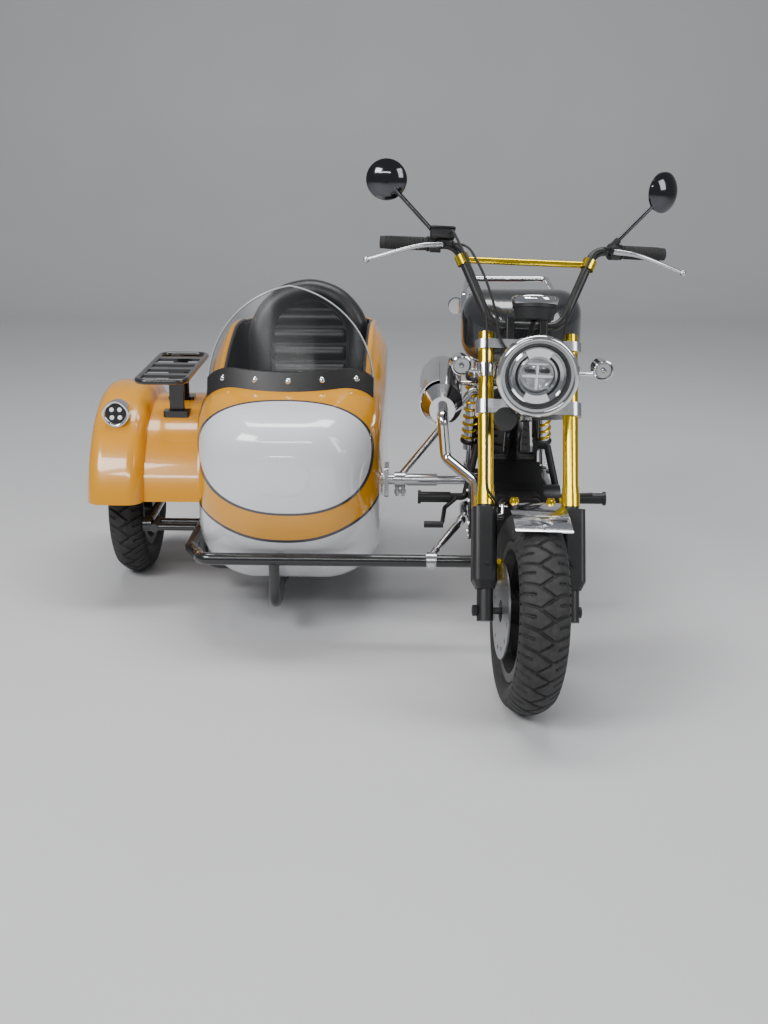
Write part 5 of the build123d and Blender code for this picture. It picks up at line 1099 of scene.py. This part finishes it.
piece("side_lamp_ring", [lobed_ring(SIDE_LAMP)], CHROME, "outfit", angle=60)
piece("side_lamp_face", [turned([(0.0022, 0.0), (0.0022, 0.029)], SIDE_LAMP, FORWARDS, 48)], BLACK_PLASTIC,
      "outfit")
dots = [turned(DOT, SIDE_LAMP + np.array([x, 0.0, z]), FORWARDS, 24)
        for x in (-0.011, 0.011) for z in (-0.011, 0.011)]
piece("side_lamp_lights", dots, LIGHT_BAR, "outfit")
piece("rear_side_lens", [turned([(0.0, 0.025), (0.005, 0.0235), (0.008, 0.014), (0.009, 0.0)],
                                spot(-0.699, 1.228, 0.500), BACKWARDS, 48)], RED_LENS, "outfit")
domes, behind = signals([bike(x, 1.2882, 0.743) for x in (-0.152, 0.152)], BACKWARDS)
piece("rear_signal_lenses", domes, AMBER_LENS, "outfit")
piece("rear_signal_rings", behind, CHROME, "outfit")
print("side lamp at", SIDE_LAMP.round(3), "with", len(dots), "lights")

# %% [markdown]
# The bars. Grips are rubber with raised rings, levers are bright blades that end in a ball, and the meter is
# a black drum under a chrome ring. These are what the eye reads first on a motorcycle. These are what the
# eye reads first on a motorcycle, so they are made fresh, and the plain grip and lever solids behind them
# stay, hidden.

# %% Bars and meter
BAR_END, BAR_BEND = (0.342, -0.034, 0.872), (0.168, -0.002, 0.862)
LEVER = ((0.206, 0.034, 0.850), (0.262, 0.038, 0.842), (0.378, 0.004, 0.816))
CLAMP, HOSE_END = (0.214, 0.015, 0.864), (0.182, 0.044, 0.850)
MIRROR_FOOT, MIRROR_HEAD = (0.222, 0.008, 0.886), (0.340, 0.018, 1.009)
GRIP_LENGTH, GRIP_R, RIB_PITCH = 0.112, 0.0152, 0.0062
COLLAR = ((0.0, 0.0), (0.0, 0.0185), (0.002, 0.020), (0.024, 0.020), (0.026, 0.0185), (0.026, 0.0))


def bar_point(point, hand):
    """A point of the handlebar, on the left for hand 1 and on the right for hand -1."""
    return fork(hand * point[0], point[1], point[2])


def smooth_path(points, count=40):
    """A curve through points: a cubic between each pair, its end slopes the mean of the neighbouring runs."""
    points = np.asarray(points, float)
    slope = np.gradient(points, axis=0)
    t = np.linspace(0, 1, count)[:, None]
    runs = [(2 * t ** 3 - 3 * t ** 2 + 1) * a + (t ** 3 - 2 * t ** 2 + t) * sa + (3 * t ** 2 - 2 * t ** 3) * b
            + (t ** 3 - t ** 2) * sb for a, b, sa, sb in zip(points, points[1:], slope, slope[1:])]
    return np.vstack([runs[0]] + [run[1:] for run in runs[1:]])


def along_bar(hand):
    """The outer end of the bar and the unit direction inwards along it."""
    end, bend = bar_point(BAR_END, hand), bar_point(BAR_BEND, hand)
    return end, (bend - end) / np.linalg.norm(bend - end)


def grip(hand):
    """A rubber sleeve whose radius steps up wherever sin(2 pi s / pitch) > -0.2, with a flared inner end."""
    end, inward = along_bar(hand)
    along = np.linspace(-0.006, GRIP_LENGTH, 150)
    ribs = 0.0012 * (np.sin(along * 2 * np.pi / RIB_PITCH) > -0.2) * (along > 0.008)
    ribs *= along < GRIP_LENGTH - 0.012
    flare = 0.0035 * np.exp(-((along - GRIP_LENGTH + 0.003) / 0.004) ** 2)
    profile = np.column_stack([along, GRIP_R + ribs + flare])
    return turned(np.vstack([[-0.006, 0.0], profile, [GRIP_LENGTH, 0.0]]), end, inward, 40)


def lever(hand):
    """A blade carried along a curve, thinner outwards, and the ball at its end."""
    root, elbow, tip = (bar_point(point, hand) for point in LEVER)
    line = smooth_path([root, elbow, (elbow + tip) / 2 + AHEAD * 0.004, tip], 14)
    share = np.linspace(0, 1, len(line))
    size = np.interp(share, [0, 0.15, 0.5, 0.92, 1], [0.0075, 0.0062, 0.0052, 0.0044, 0.0044])
    turn = np.linspace(-np.pi / 2, np.pi / 2, 12)
    ball = 0.0078 * np.column_stack([np.sin(turn), np.cos(turn)])
    return [carried(line, size, 14), turned(ball, tip + (tip - elbow) * 0.05, tip - elbow, 20)]


def perch(hand):
    """The collar by the grip, the lever's clamp, the mirror's foot and the end of the hose."""
    end, inward = along_bar(hand)
    clamp, foot, head = (bar_point(point, hand) for point in (CLAMP, MIRROR_FOOT, MIRROR_HEAD))
    reach = (head - foot) / np.linalg.norm(head - foot)
    return [turned(COLLAR, end + inward * (GRIP_LENGTH + 0.002), inward, 36),
            carried(np.linspace(clamp, bar_point(LEVER[0], hand), 4), 0.0105, 16),
            carried(np.linspace(foot - reach * 0.026, foot + reach * 0.004, 3), 0.008, 6),
            carried(np.linspace(clamp, bar_point(HOSE_END, hand), 3), 0.006, 12)]


reservoir = [block(fork(-0.206, 0.030, 0.875), (0.029, 0.015, 0.013), 0.25, UP_FORK),
             block(fork(-0.206, 0.030, 0.889), (0.031, 0.017, 0.003), 0.3, UP_FORK)]
piece("grip_sleeves", steered([grip(-1), grip(1)]), BLACK_RUBBER, "steering", ["grips"])
piece("lever_blades", steered(lever(-1) + lever(1)), SATIN_ALUMINIUM, "steering")
piece("lever_perches", steered(perch(-1) + perch(1) + reservoir), BLACK_SATIN, "steering",
      ["lever_sets"])

METER_AXIS = np.array([0.0, 0.25, 1.0]) / math.hypot(0.25, 1.0)
METER_TOP = fork(0.0, 0.104, 0.655) + METER_AXIS * 0.048
METER_RING = ((-0.014, 0.0525), (-0.006, 0.0545), (0.001, 0.0540), (0.0035, 0.0505), (0.001, 0.0475),
              (-0.004, 0.0465))
piece("meter_ring", steered([turned(METER_RING, METER_TOP, METER_AXIS, 72)]), CHROME, "steering",
      angle=60)
piece("meter_glass", steered([turned([(0.0005, 0.0), (0.0005, 0.047)], METER_TOP, METER_AXIS, 48)]),
      BLACK_GLOSS, "steering")
print("bar end", bar_point(BAR_END, 1).round(3), "meter at", METER_TOP.round(3))

# %% [markdown]
# Small fittings. A fork has bright collars where the tube enters the slider, and gold bushings hold the
# mudguard's brace. A spring is a circle carried along a helix: the angle and the way along the shock grow
# together, and the last turns close up. The bolts of an engine cover sit on a circle.

# %% Fork fittings, springs and bolts
SLIDER_TOP = ((0.0, 0.0185), (0.0, 0.0222), (0.022, 0.0222), (0.024, 0.0205), (0.027, 0.0205),
              (0.029, 0.0218), (0.034, 0.0218), (0.036, 0.0185))
BUSHING = ((0.0, 0.0), (0.0, 0.0105), (0.006, 0.0105), (0.008, 0.008), (0.012, 0.008), (0.012, 0.0))
GUARD_LEAN = math.radians(12.0)
GUARD_OUT = UP_FORK * math.cos(GUARD_LEAN) + AHEAD * math.sin(GUARD_LEAN)
COILS, COILS_CLOSE = 9.0, 0.35
COIL_START, COIL_LENGTH = 0.24, 0.56        # as shares of the shock
COIL_R, COIL_WIRE = 0.0245, 0.0036
SPRING_SEAT = ((0.0, 0.010), (0.0, 0.029), (0.005, 0.0295), (0.008, 0.027), (0.008, 0.010))
BOLT_HEAD = ((-0.002, 0.0), (-0.002, 0.0052), (0.00315, 0.0052), (0.0045, 0.004472), (0.0045, 0.0))


def spring(low, high):
    """A wire along r (cos t, sin t), t = 2 pi (n s + c sin(2 pi s) / pi), between two points of a shock."""
    _, across, third = square_to(high - low)
    share = np.linspace(0.0, 1.0, 420)
    turns = 2 * np.pi * (share * COILS + COILS_CLOSE * np.sin(2 * np.pi * share) / np.pi)
    way = low + (high - low) * (COIL_START + COIL_LENGTH * share)[:, None]
    ring = np.cos(turns)[:, None] * across + np.sin(turns)[:, None] * third
    return carried(way + COIL_R * ring, COIL_WIRE, 8)


collars = [turned(SLIDER_TOP, fork(x, 0.0, 0.222), UP_FORK, 48) for x in (-0.100, 0.100)]
collars += [turned(BUSHING, fork(x, FORK_AHEAD, -AXLE_DROP) + GUARD_OUT * 0.2495, GUARD_OUT, 28)
            for x in (-0.042, 0.042)]
piece("fork_collars", steered(collars), GOLD, "steering")

shocks = [(bike(side * 0.112, 1.092, 0.2884), bike(side * 0.092, 1.010, 0.640)) for side in (-1, 1)]
springs = piece("shock_springs", [spring(low, high) for low, high in shocks], GOLD, "outfit")
seats = [turned(SPRING_SEAT, low + (high - low) * place, high - low, 40)
         for low, high in shocks for place in (0.225, 0.80)]
piece("spring_seats", seats, BLACK_SATIN, "outfit")

bolts = []
for face_x, centre_y, radius, count, out in ((-0.120, 0.600, 0.079, 8, -1.0), (0.118, 0.560, 0.063, 6, 1.0)):
    for angle in np.linspace(0, 2 * np.pi, count, endpoint=False) + 0.3:
        place = bike(face_x, centre_y + radius * math.cos(angle), 0.305 + radius * math.sin(angle))
        bolts.append(turned(BOLT_HEAD, place, (out, 0.0, 0.0), 6))
piece("engine_bolts", bolts, STEEL, "outfit")
print("spring faces", len(springs.data.polygons), "bolts", len(bolts))

# %% [markdown]
# The floor and the light. A pale plain floor that curves up into a backdrop keeps the horizon out of the
# picture. Four soft lamps and a pale sky light the outfit, and the long ones give chrome and gloss
# paint a shape to mirror.

# %% Studio
def studio():
    """A sweep of floor and wall, four area lamps and a pale sky."""
    bend = np.linspace(0.1, np.pi / 2, 10)
    y = np.concatenate([np.linspace(-7.0, 5.0, 13), 5.0 + 1.5 * np.sin(bend), [6.5]])
    z = np.concatenate([np.zeros(13), 1.5 - 1.5 * np.cos(bend), [6.0]])
    x = np.linspace(-9.0, 9.0, 3)
    points = np.stack([np.broadcast_to(x[None], (len(y), 3)), np.broadcast_to(y[:, None], (len(y), 3)),
                       np.broadcast_to(z[:, None], (len(y), 3))], -1)
    vertices, faces = patch(points)
    mesh = bpy.data.meshes.new("studio_floor")
    mesh.from_pydata(vertices.tolist(), [], faces.tolist())
    mesh.shade_smooth()
    floor = bpy.data.objects.new("studio_floor", mesh)
    bpy.context.scene.collection.objects.link(floor)
    f = Finish("studio_grey")
    at = f.place()
    tone = f.mix(f.cloud(at, 1.2), (0.60, 0.60, 0.61), (0.66, 0.66, 0.67))
    floor.data.materials.append(f.done(Base_Color=tone, Roughness=f.cloud(at, 30.0) * 0.1 + 0.5))
    lamps = (
        # name, place, aim, size, power
        ("key", (-2.6, -3.2, 3.6), (0.0, 0.0, 0.4), (2.2, 1.4), 165.0),
        ("fill", (3.4, -2.2, 2.6), (0.2, 0.0, 0.5), (1.6, 2.4), 70.0),
        ("top", (0.0, 0.6, 4.2), (0.0, 0.0, 0.3), (3.4, 1.0), 120.0),
        ("strip", (-0.4, -4.6, 3.2), (0.1, -0.2, 0.5), (3.0, 0.25), 45.0),
    )
    for name, place, aim, size, power in lamps:
        data = bpy.data.lights.new(name, "AREA")
        data.shape = "RECTANGLE"
        data.size, data.size_y, data.energy = size[0], size[1], power
        lamp = bpy.data.objects.new(name, data)
        bpy.context.scene.collection.objects.link(lamp)
        lamp.location = place
        lamp.rotation_euler = (Vector(aim) - Vector(place)).to_track_quat("-Z", "Y").to_euler()
    world = bpy.data.worlds.new("studio_sky")
    bpy.context.scene.world = world
    world.use_nodes = True
    sky = world.node_tree.nodes["Background"]
    sky.inputs["Color"].default_value = (0.80, 0.84, 0.90, 1.0)
    sky.inputs["Strength"].default_value = 0.26


studio()
